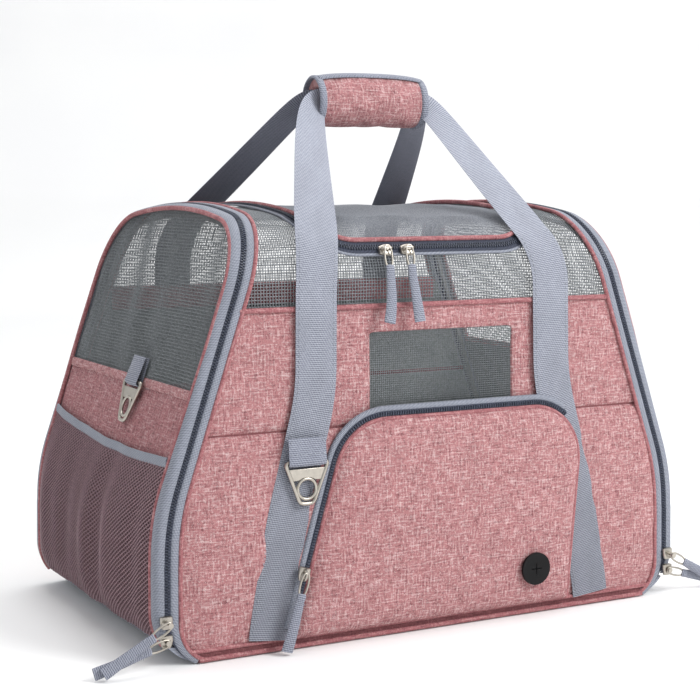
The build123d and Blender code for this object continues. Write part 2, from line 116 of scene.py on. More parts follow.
def wrap(s, lift=0.0):
    """Y and Z of the end outline s mm from the middle of the roof, front negative, moved out by lift."""
    far = np.abs(s)
    on_crown = far < CROWN_ARC
    turn = np.where(on_crown, far / CROWN_RADIUS, CROWN_TURN + (far - CROWN_ARC) / SHOULDER_RADIUS)
    turn = np.minimum(turn, SIDE_TURN)
    down = np.maximum(far - CROWN_ARC - SHOULDER_ARC, 0)
    radius = np.where(on_crown, CROWN_RADIUS, SHOULDER_RADIUS)
    y = np.where(on_crown, 0, SHOULDER_Y) + (radius + lift) * np.sin(turn) - down * SIDE[0]
    z = np.where(on_crown, CROWN_CENTRE, SHOULDER_Z) + (radius + lift) * np.cos(turn) - down * SIDE[1]
    return np.sign(s) * y, z


def s_at(z):
    """Distance from the middle of the roof to height z on the straight side."""
    return HALF_WRAP - np.asarray(z, float) / SIDE[1]


def s_around(turn):
    """Distance from the middle of the roof to the shoulder's point turn radians from upright."""
    return CROWN_ARC + (turn - CROWN_TURN) * SHOULDER_RADIUS


def on_cloth(x, s, lift):
    """Track on the wrap, lifted off it: points, and their outward directions."""
    points = stack(x, *wrap(s, lift))
    return points, stack(x, *wrap(s, lift + 1)) - points


def on_wall(side, x, z, lift):
    """Points at height z of the front or back wall, lifted off it."""
    points, out = on_cloth(x, side * s_at(z), 0)
    return points + out * np.asarray(lift)[..., None]


def half_length(z, extra=0.0):
    """X of the front outline at height z, moved out by extra."""
    z = np.asarray(z, float)
    low = HALF_LENGTH + extra
    corner = CORNER_RADIUS + extra / 2
    lean = (HALF_LENGTH - 1 - OUTLINE_TOP_X) / (OUTLINE_TOP_Z - ELBOW_Z)
    angle = math.atan(lean)
    x = np.where(z < ELBOW_Z, low - z / ELBOW_Z, low - 1 - lean * (z - ELBOW_Z))
    dz = z - (ELBOW_Z - ELBOW_RADIUS * math.tan(angle / 2))
    arc = low - 1 - ELBOW_RADIUS + np.sqrt(np.maximum(ELBOW_RADIUS ** 2 - dz ** 2, 0))
    x = np.where((dz > 0) & (dz < ELBOW_RADIUS * math.sin(angle)), arc, x)
    up = corner - np.clip(z, 0, corner)
    return x - corner + np.sqrt(corner ** 2 - up ** 2)


def half_depth(z, inset=0.0):
    """Y of the end outline at height z, moved in by inset."""
    z = np.asarray(z, float)
    line = HALF_DEPTH - inset / SIDE[1] + z * SIDE[0] / SIDE[1]
    radius = SHOULDER_RADIUS - inset
    arc = SHOULDER_Y + np.sqrt(np.maximum(radius ** 2 - (z - SHOULDER_Z) ** 2, 0))
    top = np.sqrt(np.maximum((CROWN_RADIUS - inset) ** 2 - (z - CROWN_CENTRE) ** 2, 0))
    upper = np.where(z < SHOULDER_Z + radius * math.cos(CROWN_TURN), arc, top)
    return np.where(z < SHOULDER_Z, line, upper)


def rumple(x, y, scale, seed):
    """Smooth noise between about -1 and 1, features scale mm across."""
    x, y = np.broadcast_arrays(x, y)
    values = [noise.noise(Vector((a / scale, b / scale, seed))) for a, b in zip(x.ravel(), y.ravel())]
    return np.array(values).reshape(x.shape)


def billow(a, b):
    """Gentle waves of a slack net, mm."""
    return np.sin(a / 17 + b / 23) * np.sin(b / 19 - a / 29) + 0.4 * np.sin(a / 7.5 - b / 31)


# ---- looks ----
STUDIO_GAIN = 1.32    # how much brighter than its own colour the studio shows a matt surface
STRAP_LENGTH = 0.42   # metres over which the painted light on a strap grows from shade to pale
SLOT_OF = {}          # material's name: the record's material slot


def linear(red, green, blue, gain=STUDIO_GAIN):
    """Scene-linear surface colour that shows as these display values of 0 to 255."""
    parts = [c / 255 for c in (red, green, blue)]
    return [(p / 12.92 if p < 0.04045 else ((p + 0.055) / 1.055) ** 2.4) / gain for p in parts] + [1.0]


def grey(value):
    return [value, value, value, 1]


class Look:
    """A procedural material under construction."""

    def __init__(self, name, slot, roughness, metallic=0.0, sheen=0.0):
        self.material = bpy.data.materials.new(name)
        self.material.use_nodes = True
        self.tree = self.material.node_tree
        self.shader = self.tree.nodes["Principled BSDF"]
        self.shader.inputs["Roughness"].default_value = roughness
        self.shader.inputs["Metallic"].default_value = metallic
        self.shader.inputs["Sheen Weight"].default_value = sheen
        SLOT_OF[self.material.name] = slot

    def add(self, kind, values, **settings):
        """New node with settings, its sockets linked or set to values."""
        node = self.tree.nodes.new("ShaderNode" + kind)
        for key, value in settings.items():
            setattr(node, key, value)
        for socket, value in values.items():
            if hasattr(value, "is_output"):
                self.tree.links.new(value, node.inputs[socket])
            else:
                node.inputs[socket].default_value = value
        return node

    def times(self, first, second):
        return self.add("Math", {0: first, 1: second}, operation="MULTIPLY").outputs[0]

    def plus(self, first, second):
        return self.add("Math", {0: first, 1: second}, operation="ADD").outputs[0]

    def wave(self, value, pitch):
        """Sine ridges pitch metres apart."""
        return self.add("Math", {0: self.times(value, math.tau / pitch)}, operation="SINE").outputs[0]

    def weave(self):
        """Place on the cloth, metres: the vector, and its parts along and across."""
        cloth = self.add("Attribute", {}, attribute_name="weave").outputs["Vector"]
        return cloth, self.add("SeparateXYZ", {0: cloth}).outputs

    def noise(self, where, scales, detail=2.0, rough=0.5):
        """Noise whose features measure about 1/scale metres along each direction."""
        moved = self.add("Mapping", {"Vector": where, "Scale": scales}).outputs[0]
        values = {"Vector": moved, "Scale": 1.0, "Detail": detail, "Roughness": rough}
        return self.add("TexNoise", values).outputs[0]

    def grain(self, scale, detail=3.0, rough=0.5):
        """The same noise in every direction of the object's own space."""
        place = self.add("TexCoord", {}).outputs["Object"]
        return self.noise(place, (scale, scale, scale), detail, rough)

    def ramp(self, value, *stops):
        node = self.add("ValToRGB", {0: value})
        points = node.color_ramp.elements
        while len(points) < len(stops):
            points.new(0.5)
        for point, (position, colour) in zip(points, stops):
            point.position = position
            point.color = colour
        return node.outputs[0]

    def mix(self, share, first, second, blend="MIX"):
        values = {0: share, 6: first, 7: second}
        return self.add("Mix", values, data_type="RGBA", blend_type=blend).outputs[2]

    def shade(self, tone, value, *stops):
        """Multiply a tone by a ramp."""
        return self.mix(1.0, tone, self.ramp(value, *stops), "MULTIPLY")

    def finish(self, colour, height, depth, strength):
        """Connect the colour and the bump."""
        self.tree.links.new(colour, self.shader.inputs["Base Color"])
        bump = self.add("Bump", {"Strength": strength, "Distance": depth, "Height": height})
        self.tree.links.new(bump.outputs[0], self.shader.inputs["Normal"])
        return self.material

    def rough(self, value, low, high):
        node = self.add("MapRange", {0: value, 3: low, 4: high})
        self.tree.links.new(node.outputs[0], self.shader.inputs["Roughness"])


def heather(name, slot, light, base, dark, sheen=0.03):
    """Melange cloth: threads of three tones crossing each other."""
    look = Look(name, slot, 0.85, sheen=sheen)
    cloth, parts = look.weave()
    weft = look.noise(cloth, (95, 820, 1), 4.0, 0.62)
    warp = look.noise(cloth, (760, 110, 1), 4.0, 0.62)
    stops = ((0.37, dark), (0.46, base), (0.54, base), (0.63, light))
    tone = look.mix(0.5, look.ramp(weft, *stops), look.ramp(warp, *stops))
    speck = look.noise(cloth, (640, 560, 1), 3.0, 0.7)
    tone = look.mix(look.ramp(speck, (0.54, grey(0)), (0.66, grey(0.7))), tone, light)
    pit = look.noise(cloth, (520, 700, 2), 3.0, 0.7)
    tone = look.mix(look.ramp(pit, (0.34, grey(0.7)), (0.46, grey(0))), tone, dark)
    blot = look.noise(cloth, (60, 60, 1))
    tone = look.shade(tone, blot, (0.3, grey(0.92)), (0.7, [1.05, 1.04, 1.04, 1]))
    over = look.times(look.wave(parts[0], 0.0012), look.wave(parts[1], 0.0012))
    height = look.plus(look.times(over, 0.25), look.plus(weft, warp))
    return look.finish(tone, height, 0.0006, 0.8)


def webbing(name, slot, light, dark, rib=0.0014, painted_light=False):
    """Ribbed webbing with a soft twill; the last argument adds painted light and shade along it: darker at its
    start, paler towards its far end.
    """
    look = Look(name, slot, 0.7, sheen=0.1)
    cloth, parts = look.weave()
    twill = look.wave(look.plus(look.times(parts[0], 0.6), parts[1]), 0.0021)
    fibre = look.noise(cloth, (1800, 240, 1), 3.0, 0.6)
    pattern = look.plus(look.times(look.wave(parts[0], rib), 0.3), look.times(twill, 0.12))
    value = look.plus(look.plus(pattern, 0.15), look.times(fibre, 0.7))
    tone = look.ramp(value, (0.2, dark), (0.75, light))
    tone = look.shade(tone, look.noise(cloth, (35, 60, 1)), (0.3, grey(0.92)), (0.7, grey(1.05)))
    # painted light and shade along the webbing: darker near its start, paler towards its far end
    if painted_light:
        length = look.times(parts[0], 1 / STRAP_LENGTH)
        tone = look.shade(tone, length, (0.1, grey(0.66)), (0.95, grey(1.1)))
    return look.finish(tone, look.plus(pattern, look.times(fibre, 0.4)), 0.0005, 0.8)


def yarn(name, slot, light, dark, roughness=0.6):
    """Plain twisted or moulded nylon thread."""
    look = Look(name, slot, roughness, sheen=0.1)
    grain = look.grain(900)
    return look.finish(look.ramp(grain, (0.3, dark), (0.7, light)), grain, 0.0002, 0.5)


def metal(name, slot, colour, roughness):
    look = Look(name, slot, roughness, metallic=1.0)
    rub = look.grain(260, 4.0, 0.6)
    tone = look.ramp(rub, (0.25, [c * 0.8 for c in colour[:3]] + [1]), (0.7, colour))
    look.rough(rub, roughness * 0.7, roughness * 1.5)
    return look.finish(tone, rub, 0.00008, 0.4)


def moulded(name, light, dark, roughness):
    """Rubber or plastic of a carried-over CAD node."""
    look = Look(name, None, roughness)
    look.shader.inputs["Specular IOR Level"].default_value = 0.2
    grain = look.grain(1400)
    look.rough(grain, roughness * 0.8, roughness * 1.15)
    return look.finish(look.ramp(look.grain(40, 2.0), (0.35, dark), (0.65, light)), grain, 0.00015, 0.5)


CLOTH, TRIM, GREY, ZIP = "heather_fabric", "pink_piping", "grey_webbing", "zip_tape"
PINK = heather("heather", CLOTH, linear(240, 212, 210), linear(193, 131, 133), linear(118, 60, 68))
# darker copy of the same heather for the end doors: painted shade
DOOR_PINK_IN_SHADE = heather("door_heather_painted_shade", CLOTH, linear(226, 190, 190), linear(178, 112, 116), linear(104, 50, 58))
# dark heather for the door wall behind the end pocket's net: painted shadow
POCKET_PAINTED_SHADOW = heather("pocket_painted_shadow", CLOTH, linear(118, 78, 84), linear(88, 54, 60), linear(60, 34, 40))
PIPING = heather("piping", TRIM, linear(220, 170, 170), linear(180, 112, 116), linear(126, 66, 74))
LINING = heather("lining", "base_fabric", linear(176, 183, 182), linear(146, 153, 152), linear(110, 117, 116))
# darker heather laid in the lower seam's groove and between the base cords: painted shade
SEAM_SHADE_PINK = heather("seam_fold", CLOTH, linear(172, 112, 114), linear(132, 76, 80), linear(98, 50, 56))
WEBBING = webbing("webbing", GREY, linear(170, 174, 188), linear(104, 109, 126))
# strap webbing with painted light along it: darker at the sewn foot, paler up towards the grip
STRAP = webbing("strap", GREY, linear(190, 194, 207), linear(120, 125, 142), painted_light=True)
# darker copy of the strap webbing for the back straps and legs: painted shade, as they face away from the light
BACK_STRAP_IN_SHADE = webbing("back_strap", GREY, linear(150, 153, 167), linear(92, 96, 111), painted_light=True)
TAPE = webbing("band_tape", "band_tape", linear(172, 177, 190), linear(116, 121, 136), 0.0011)
ZIP_TAPE = webbing("zip_tape", ZIP, linear(70, 77, 98), linear(32, 38, 56), 0.0011)
TEETH = yarn("zip_teeth", ZIP, linear(84, 92, 112), linear(26, 31, 46), 0.4)
NET = yarn("net_grey", "grey_net", linear(176, 181, 186), linear(124, 129, 134))
BLACK_NET = yarn("net_black", "black_net", linear(166, 171, 174), linear(112, 117, 120))
FLAP_NET = yarn("net_dense", "flap_mesh", linear(186, 190, 198), linear(136, 140, 148))
POCKET_NET = yarn("net_pocket", "pocket_mesh", linear(182, 146, 154), linear(122, 94, 102))
THREAD = yarn("thread", CLOTH, linear(214, 160, 160), linear(150, 92, 96))
GREY_THREAD = yarn("grey_thread", GREY, linear(196, 200, 210), linear(134, 138, 150))
NICKEL = metal("nickel", "nickel", linear(186, 180, 170, 1.0), 0.3)
WIRE = metal("spring_wire", None, linear(150, 150, 150, 1.0), 0.4)
RUBBER = moulded("black_rubber", linear(20, 20, 22), linear(10, 10, 12), 0.5)
BOARD = moulded("board_cover", linear(70, 70, 74), linear(54, 54, 58), 0.7)
FLEECE = heather("fleece", "mat_fleece", linear(196, 192, 188), linear(166, 162, 158),
                 linear(132, 128, 124), 0.4)

# ---- meshes ----
ROLE = {}   # piece's name: the CAD node it stands for, and its slot


def enlist(obj, node, slot, ride=True):
    """Put a piece in the scene in place of a CAD node, moving with that node's body."""
    bpy.context.scene.collection.objects.link(obj)
    if ride:
        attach(obj, BODY_OF[node])
    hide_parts(node)
    ROLE[obj.name] = (node, slot)
    return obj


def piece(name, points, faces, look, node, weave=None, slot=None, sharp=50, ride=True):
    """One visible piece from points in mm. weave is each point's place on the cloth."""
    mesh = bpy.data.meshes.new(name)
    mesh.from_pydata((np.asarray(points, float) * MM).tolist(), [], faces)
    if weave is not None:
        cloth = mesh.attributes.new("weave", "FLOAT_VECTOR", "POINT")
        cloth.data.foreach_set("vector", (np.asarray(weave, float) * MM).ravel())
    shape = bmesh.new()
    shape.from_mesh(mesh)
    bmesh.ops.remove_doubles(shape, verts=shape.verts, dist=1e-6)
    bmesh.ops.recalc_face_normals(shape, faces=shape.faces)
    shape.to_mesh(mesh)
    shape.free()
    mesh.shade_smooth()
    mesh.set_sharp_from_angle(angle=math.radians(sharp))
    mesh.materials.append(look)
    return enlist(bpy.data.objects.new(name, mesh), node, slot or SLOT_OF[look.name], ride)


def both_ends(obj):
    """Copy a left piece to the right end, and return the pair."""
    node, slot = ROLE[obj.name]
    name = obj.name.replace("left", "right")
    mesh = obj.data.copy()
    mesh.name = name
    mesh.transform(((-1, 0, 0, 0), (0, 1, 0, 0), (0, 0, 1, 0), (0, 0, 0, 1)))
    mesh.flip_normals()
    return obj, enlist(bpy.data.objects.new(name, mesh), node.replace("left", "right"), slot)


def skin(name, outer, inner, look, node, weave=None, keep=None):
    """Closed piece between two grids of points; cells that keep says no to are left out."""
    rows, columns = outer.shape[:2]
    if keep is None:
        keep = np.ones((rows - 1, columns - 1), bool)
    points = np.concatenate([outer.reshape(-1, 3), inner.reshape(-1, 3)])
    back = rows * columns
    faces = []
    padded = np.pad(keep, 1)
    for i, j in zip(*np.nonzero(keep)):
        a = i * columns + j
        corners = (a, a + 1, a + columns + 1, a + columns)
        faces.append(corners)
        faces.append(tuple(back + c for c in reversed(corners)))
        sides = (padded[i, j + 1], padded[i + 1, j + 2], padded[i + 2, j + 1], padded[i + 1, j])
        for k, neighbour in enumerate(sides):
            if not neighbour:
                first, second = corners[k], corners[(k + 1) % 4]
                faces.append((second, first, back + first, back + second))
    used = sorted({v for face in faces for v in face})
    index = {v: k for k, v in enumerate(used)}
    cloth = points if weave is None else np.concatenate([weave.reshape(-1, 3)] * 2)
    faces = [tuple(index[v] for v in face) for face in faces]
    return piece(name, points[used], faces, look, node, cloth[used])


def loft(rows, sides, closed=False):
    """Faces of a tube of that many rows, with its ends capped unless it closes on itself."""
    faces = []
    for i in range(rows if closed else rows - 1):
        here, after = i * sides, (i + 1) % rows * sides
        for k in range(sides):
            turn = (k + 1) % sides
            faces.append((here + k, here + turn, after + turn, after + k))
    if not closed:
        last = (rows - 1) * sides
        faces += [tuple(range(sides))[::-1], tuple(range(last, last + sides))]
    return faces


def tubes(runs):
    """Four-sided threads. A run is (points, normals, radius)."""
    points, faces, start = [], [], 0
    for path, normal, radius in runs:
        along = unit(np.gradient(path, axis=0))
        side = unit(np.cross(along, normal))
        up = np.cross(side, along)
        up, side = radius * up, radius * side
        points.append(np.stack([path + up, path + side, path - up, path - side], 1).reshape(-1, 3))
        faces += [tuple(start + v for v in face) for face in loft(len(path), 4)]
        start += 4 * len(path)
    return np.concatenate(points), faces


STRAIGHTNESS = 0.05   # mm a thread may leave the straight line between two kept points


def thin_out(path, normal):
    """Drop points that lie on the line between their neighbours."""
    keep = [0]
    for i in range(1, len(path) - 1):
        base = path[keep[-1]]
        line = path[i + 1] - base
        off = np.linalg.norm(np.cross(path[keep[-1] + 1:i + 1] - base, line), axis=1).max()
        if off > STRAIGHTNESS * max(np.linalg.norm(line), 1e-6):
            keep.append(i)
    keep.append(len(path) - 1)
    return path[keep], normal[keep]


def net(name, place, keep, first, second, look, node, pitch, radius, slant=0.0):
    """Threads both ways over a surface; place maps (a, b, lift) to points in mm.

    first and second are the ranges of a and b. slant turns the threads, in degrees.
    """
    runs = []
    spans = (first, second)
    middle = [sum(span) / 2 for span in spans]
    turn = math.radians(slant)
    reach = math.hypot(first[1] - first[0], second[1] - second[0]) / 2 if slant else 0
    for way in (0, 1):
        half_line = reach or (spans[way][1] - spans[way][0]) / 2
        half_stack = reach or (spans[1 - way][1] - spans[1 - way][0]) / 2
        line = np.arange(-half_line, half_line + 0.5, 1.0)
        lift = (radius if way else -radius) * 0.6
        for offset in np.arange(-half_stack, half_stack + 0.01, pitch):
            here = [line, np.full_like(line, offset)][::-1 if way else 1]
            a = middle[0] + here[0] * math.cos(turn) - here[1] * math.sin(turn)
            b = middle[1] + here[0] * math.sin(turn) + here[1] * math.cos(turn)
            edges = np.flatnonzero(np.diff(np.concatenate([[0], keep(a, b).astype(int), [0]])))
            for begin, end in zip(edges[::2], edges[1::2]):
                if end - begin > 2:
                    some = slice(begin, end)
                    path = place(a[some], b[some], lift)
                    normal = unit(place(a[some], b[some], lift + 1.0) - path)
                    runs.append((*thin_out(path, normal), radius))
    points, faces = tubes(runs)
    return piece(name, points, faces, look, node, points)


def directed(track):
    """A track's points, with an outward direction for each."""
    path = np.asarray(track[0], float)
    return path, np.broadcast_to(np.asarray(track[1], float), path.shape)


def axes(out, along):
    """The two directions across a track: sideways, and outwards at right angles to it."""
    side = unit(np.cross(along, out))
    return side, np.cross(side, along)


def sweep(name, track, section, look, node, slot=None, closed=False, scale=1.0, part=slice(None), ride=True):
    """Loft a section of (across, out) points along a track.

    part keeps only that range of the track's points, so two pieces can share one track.
    """
    path, out = directed(track)
    along = np.gradient(path, axis=0)
    if closed:
        along = np.roll(path, -1, axis=0) - np.roll(path, 1, axis=0)
    side, up = axes(out, unit(along))
    section = np.asarray(section, float)
    sizes = np.broadcast_to(scale, len(path)).reshape(-1, 1, 1)
    rings = side[:, None] * section[None, :, :1] + up[:, None] * section[None, :, 1:]
    rings = path[:, None] + rings * sizes
    run = np.concatenate([[0], np.cumsum(np.linalg.norm(np.diff(path, axis=0), axis=1))])
    rings, run = rings[part], run[part]
    weave = stack(run[:, None], section[None, :, 0], section[None, :, 1]).reshape(-1, 3)
    faces = loft(len(rings), len(section), closed)
    return piece(name, rings.reshape(-1, 3), faces, look, node, weave, slot, ride=ride)


def around(count):
    return np.linspace(0, math.tau, count, endpoint=False)


def circle(radius, count=10):
    return radius * stack(np.cos(around(count)), np.sin(around(count)))


def power(values, exponent):
    return np.sign(values) * np.abs(values) ** exponent


def ribbon(width, thick, cup=0.0, count=7):
    """Flat section with soft edges; cup bows its middle outwards."""
    x = np.linspace(-1, 1, count)
    bow = cup * (1 - x ** 2)
    edge = np.sqrt(np.maximum(1 - np.abs(x) ** 8, 0.0)) * 0.5 * thick
    edge = np.maximum(edge, 0.12 * thick)
    top = stack(x * width / 2, bow + edge)
    bottom = stack(x * width / 2, bow - edge)[::-1]
    return np.concatenate([bottom, top])


def resample(path, step):
    """Even points along a path, with any further columns carried along."""
    path = np.asarray(path, float)
    run = np.concatenate([[0], np.cumsum(np.linalg.norm(np.diff(path[:, :3], axis=0), axis=1))])
    even = np.linspace(0, run[-1], max(int(run[-1] / step), 2))
    return np.stack([np.interp(even, run, path[:, k]) for k in range(path.shape[1])], 1)


STUD = np.array([(-1, 0, -0.6), (-0.6, -1, -0.6), (0.6, -1, -0.6), (1, 0, -0.6), (0.6, 1, -0.6),
                 (-0.6, 1, -0.6), (-0.5, -0.8, 1), (0.5, -0.8, 1), (0.5, 0.8, 1), (-0.5, 0.8, 1)])
STUD_FACES = ((0, 1, 2, 3, 4, 5), (1, 6, 7, 2), (2, 7, 3), (3, 7, 8), (3, 8, 4), (4, 8, 9, 5), (5, 9, 0),
              (0, 9, 6), (0, 6, 1), (6, 9, 8, 7))


def studs(name, track, size, pitch, look, node, shift=0.0, phase=0.0):
    """Row of small rounded bars along a track: zip teeth or stitches. size is (along, across, out)."""
    even = resample(np.concatenate(directed(track), 1), pitch)
    centre = even[:, :3]
    along = unit(np.gradient(centre, axis=0))
    side, up = axes(unit(even[:, 3:]), along)
    centre = centre + side * shift + along * phase * pitch
    shape = STUD * (np.array(size) / 2)
    rings = (centre[:, None] + along[:, None] * shape[None, :, :1] + side[:, None] * shape[None, :, 1:2]
             + up[:, None] * shape[None, :, 2:])
    faces = [tuple(i * len(shape) + v for v in cell) for i in range(len(centre)) for cell in STUD_FACES]
    return piece(name, rings.reshape(-1, 3), faces, look, node, sharp=30)


def puff(obj, held, pressure, slack, cap):
    """Inflate a closed piece as cloth while the points that held picks stay put."""
    scene = bpy.context.scene
    mesh = obj.data
    before = np.empty(len(mesh.vertices) * 3)
    mesh.vertices.foreach_get("co", before)
    before = before.reshape(-1, 3)
    group = obj.vertex_groups.new(name="held")
    group.add(np.flatnonzero(held(before / MM)).tolist(), 1.0, "REPLACE")
    cloth = obj.modifiers.new("cloth", "CLOTH")
    cloth.settings.use_pressure = True
    cloth.settings.uniform_pressure_force = pressure
    cloth.settings.vertex_group_mass = "held"
    cloth.settings.shrink_min = -slack
    cloth.settings.effector_weights.gravity = 0.0
    cloth.point_cache.frame_start = 1
    cloth.point_cache.frame_end = 20
    for step in range(1, 21):
        scene.frame_set(step)
    evaluated = obj.evaluated_get(bpy.context.evaluated_depsgraph_get())
    after = np.empty(len(mesh.vertices) * 3)
    evaluated.data.vertices.foreach_get("co", after)
    moved = after.reshape(-1, 3) - before
    size = np.linalg.norm(moved, axis=1, keepdims=True)
    limit = cap * MM
    moved *= np.tanh(size / limit) * limit / np.maximum(size, 1e-9)
    obj.modifiers.remove(cloth)
    obj.vertex_groups.remove(group)
    mesh.vertices.foreach_set("co", (before + moved).ravel())
    mesh.update()
    scene.frame_set(1)


def refine(obj):
    """Apply one level of subdivision surface."""
    modifier = obj.modifiers.new("finer", "SUBSURF")
    modifier.levels = 1
    evaluated = obj.evaluated_get(bpy.context.evaluated_depsgraph_get())
    mesh = bpy.data.meshes.new_from_object(evaluated)
    obj.modifiers.remove(modifier)
    obj.data = mesh
    mesh.shade_smooth()


# ---- wall panels ----
PANEL_STEP = 7.0    # mm between a panel's points
PANEL_EASE = 9.0    # mm over which it rises from its seams


def panel(face, side, part, z0, z1, thick, bulge=0.0, window=None):
    """Cloth wall between two heights, puffed by bulge, rolled in at the lower seam."""
    roll, inward = (z0, 1) if z1 > LOWER_SEAM + 1 else (z1, -1)
    rows = np.linspace(z0, z1, int((z1 - z0) / PANEL_STEP) + 1)
    rows = np.unique(np.concatenate([rows, roll + inward * np.array([0.8, 1.8, 3.4])]))
    keep = None
    if window:
        left, right, bottom, top = window
        rows = np.unique(np.concatenate([rows[np.abs(rows - bottom) > 0.9], [bottom, top]]))
    reach = half_length(rows) - 1.0
    if window:
        edges = stack(-reach, left, right, reach)
        share = np.linspace(0, 1, 17)[None, :]
        columns = np.concatenate([edges[:, k, None] + (edges[:, k + 1] - edges[:, k])[:, None]
                                  * share[:, min(k, 1):] for k in range(3)], axis=1)
        middle = (rows[:-1] + rows[1:])[:, None] / 2
        centre = (columns[:-1, :-1] + columns[1:, 1:]) / 2
        keep = ~((middle > bottom) & (middle < top) & (centre > left) & (centre < right))
    else:
        columns = reach[:, None] * np.linspace(-1, 1, int(2 * reach.max() / PANEL_STEP))[None, :]
    z = rows[:, None]
    edge = np.minimum(np.minimum((z - z0), (z1 - z)), reach[:, None] - np.abs(columns))
    crown = bulge * (1 - np.exp(-np.maximum(edge, 0) / PANEL_EASE))
    crown = crown + 0.9 * rumple(columns, z * 1.6, 40, side) * np.clip(edge / 12, 0, 1)
    crown = crown - 2.0 * np.exp(-(np.abs(z - roll) / 1.5) ** 2)
    obj = skin(f"{face}_{part}_wall", on_wall(side, columns, z, crown), on_wall(side, columns, z, -thick),
               PINK, f"{face}_{part}_panel", stack(columns, z, 0.0), keep)
    line_inside(obj, (0, side, 0))
    return obj


def line_inside(obj, outward):
    """Give the faces that look away from outward the lining's material."""
    obj.data.materials.append(LINING)
    for face in obj.data.polygons:
        if face.normal.dot(Vector(outward)) < -0.5:
            face.material_index = 1


def lower_wall_held(points):
    """The lower wall's rim and its inner face."""
    margin = 5.0
    x, y, z = np.abs(points[:, 0]), np.abs(points[:, 1]), points[:, 2]
    rim = (z < WALL_BOTTOM + margin) | (z > LOWER_SEAM - margin) | (x > half_length(z) - 1.0 - margin)
    return rim | (y < HALF_DEPTH + z * SIDE[0] - 3.0)


for face, side in FACES:
    low = panel(face, side, "lower", WALL_BOTTOM, LOWER_SEAM, 6.0, bulge=1.2)
    puff(low, lower_wall_held, pressure=3.0, slack=0.012, cap=2.2)
    refine(low)
    high = panel(face, side, "upper", LOWER_SEAM + 0.3, UPPER_SEAM, 4.0, window=WINDOW if side < 0 else None)
    refine(high)

# ---- nets of the wrap ----
NET_DEPTH = 1.8   # how far a net lies below the surface of the cloth


def on_wrap(x, s, lift):
    return stack(x, *wrap(s, lift - NET_DEPTH + 0.75 * billow(x, s)))


def s_over(y):
    """Distance from the middle of the roof to a point of the shoulder, from its y."""
    return math.copysign(s_around(math.asin((abs(y) - SHOULDER_Y) / SHOULDER_RADIUS)), y)


FLAP_S = (s_over(FLAP_FRONT), s_over(FLAP_BACK))


def flap_inside(x, s, grow):
    """Inside the flap's outline on the cloth, whose front corners are round."""
    radius = FLAP_CORNER + grow
    half, front = FLAP_HALF + grow, FLAP_S[0] - grow
    box = (np.abs(x) < half) & (s > front) & (s < FLAP_S[1])
    dx, ds = np.abs(x) - (half - radius), (front + radius) - s
    outside = (dx > 0) & (ds > 0) & (dx ** 2 + ds ** 2 > radius ** 2)
    return box & ~outside


def keep_roof(x, s):
    return (np.abs(x) < half_length(wrap(s)[1]) - 2.5) & ~flap_inside(x, s, 10.0)


seam_s = float(s_at(UPPER_SEAM))
roof = net("roof_mesh", on_wrap, keep_roof, (-160, 160), (-seam_s, seam_s), NET, "roof_net", 2.3, 0.3)
flap = net("flap_mesh", on_wrap, lambda x, s: flap_inside(x, s, -1), (-95, 95), (-128, 103),
           FLAP_NET, "flap_net", 1.05, 0.25)
left, right, bottom, top = WINDOW
window = net("window_mesh", on_wrap, lambda x, s: x > -1e3, (left - 3, right + 3),
             (-float(s_at(bottom - 3)), -float(s_at(top + 3))), BLACK_NET, "front_window_net", 1.6, 0.24)


# ---- end rings: piping, tape and zip ----
def door_inset(z):
    """How far in from the wrap the door's piping runs: less towards the roof."""
    share = np.clip((225 - np.asarray(z, float)) / 120, 0, 1)
    return 2.5 + 6.5 * share * share * (3 - 2 * share)


def ring_track(extra, lift, z_start):
    """Track up the front, over the roof and down the back of the left end.

    lift is a number, or a function of the height.
    """
    start = float(s_at(z_start))
    fine = np.linspace(-start, -start + 40, 60)
    s = np.concatenate([fine, np.arange(-start + 42, start - 41, 2.5), -fine[::-1]])
    lift = lift(wrap(s)[1]) if callable(lift) else lift
    x = -half_length(wrap(s, lift)[1], extra)
    track = resample(np.concatenate(on_cloth(x, s, lift), 1), 2.5)
    return track[:, :3], track[:, 3:]


for name, extra, lift, start, section, look, node in (
        ("left_front_cord", -4.4, 0.9, 2.2, circle(1.6), PIPING, "side_piping"),
        ("left_body_tape", -0.3, 0.5, 3.0, ribbon(6.0, 1.6, 0.3), TAPE, "side_bands"),
        ("left_body_zip_tape", 3.6, 0.0, 3.0, ribbon(3.0, 1.4), ZIP_TAPE, "side_bands"),
        ("left_door_zip_tape", 6.3, 0.0, DOOR_BOTTOM + 6, ribbon(2.2, 1.4), ZIP_TAPE, "left_door_band"),
        ("left_door_cord", 13.2, lambda z: -door_inset(z), DOOR_BOTTOM, circle(1.8), PIPING,
         "left_door_piping")):
    both_ends(sweep(name, ring_track(extra, lift, start), section, look, node))


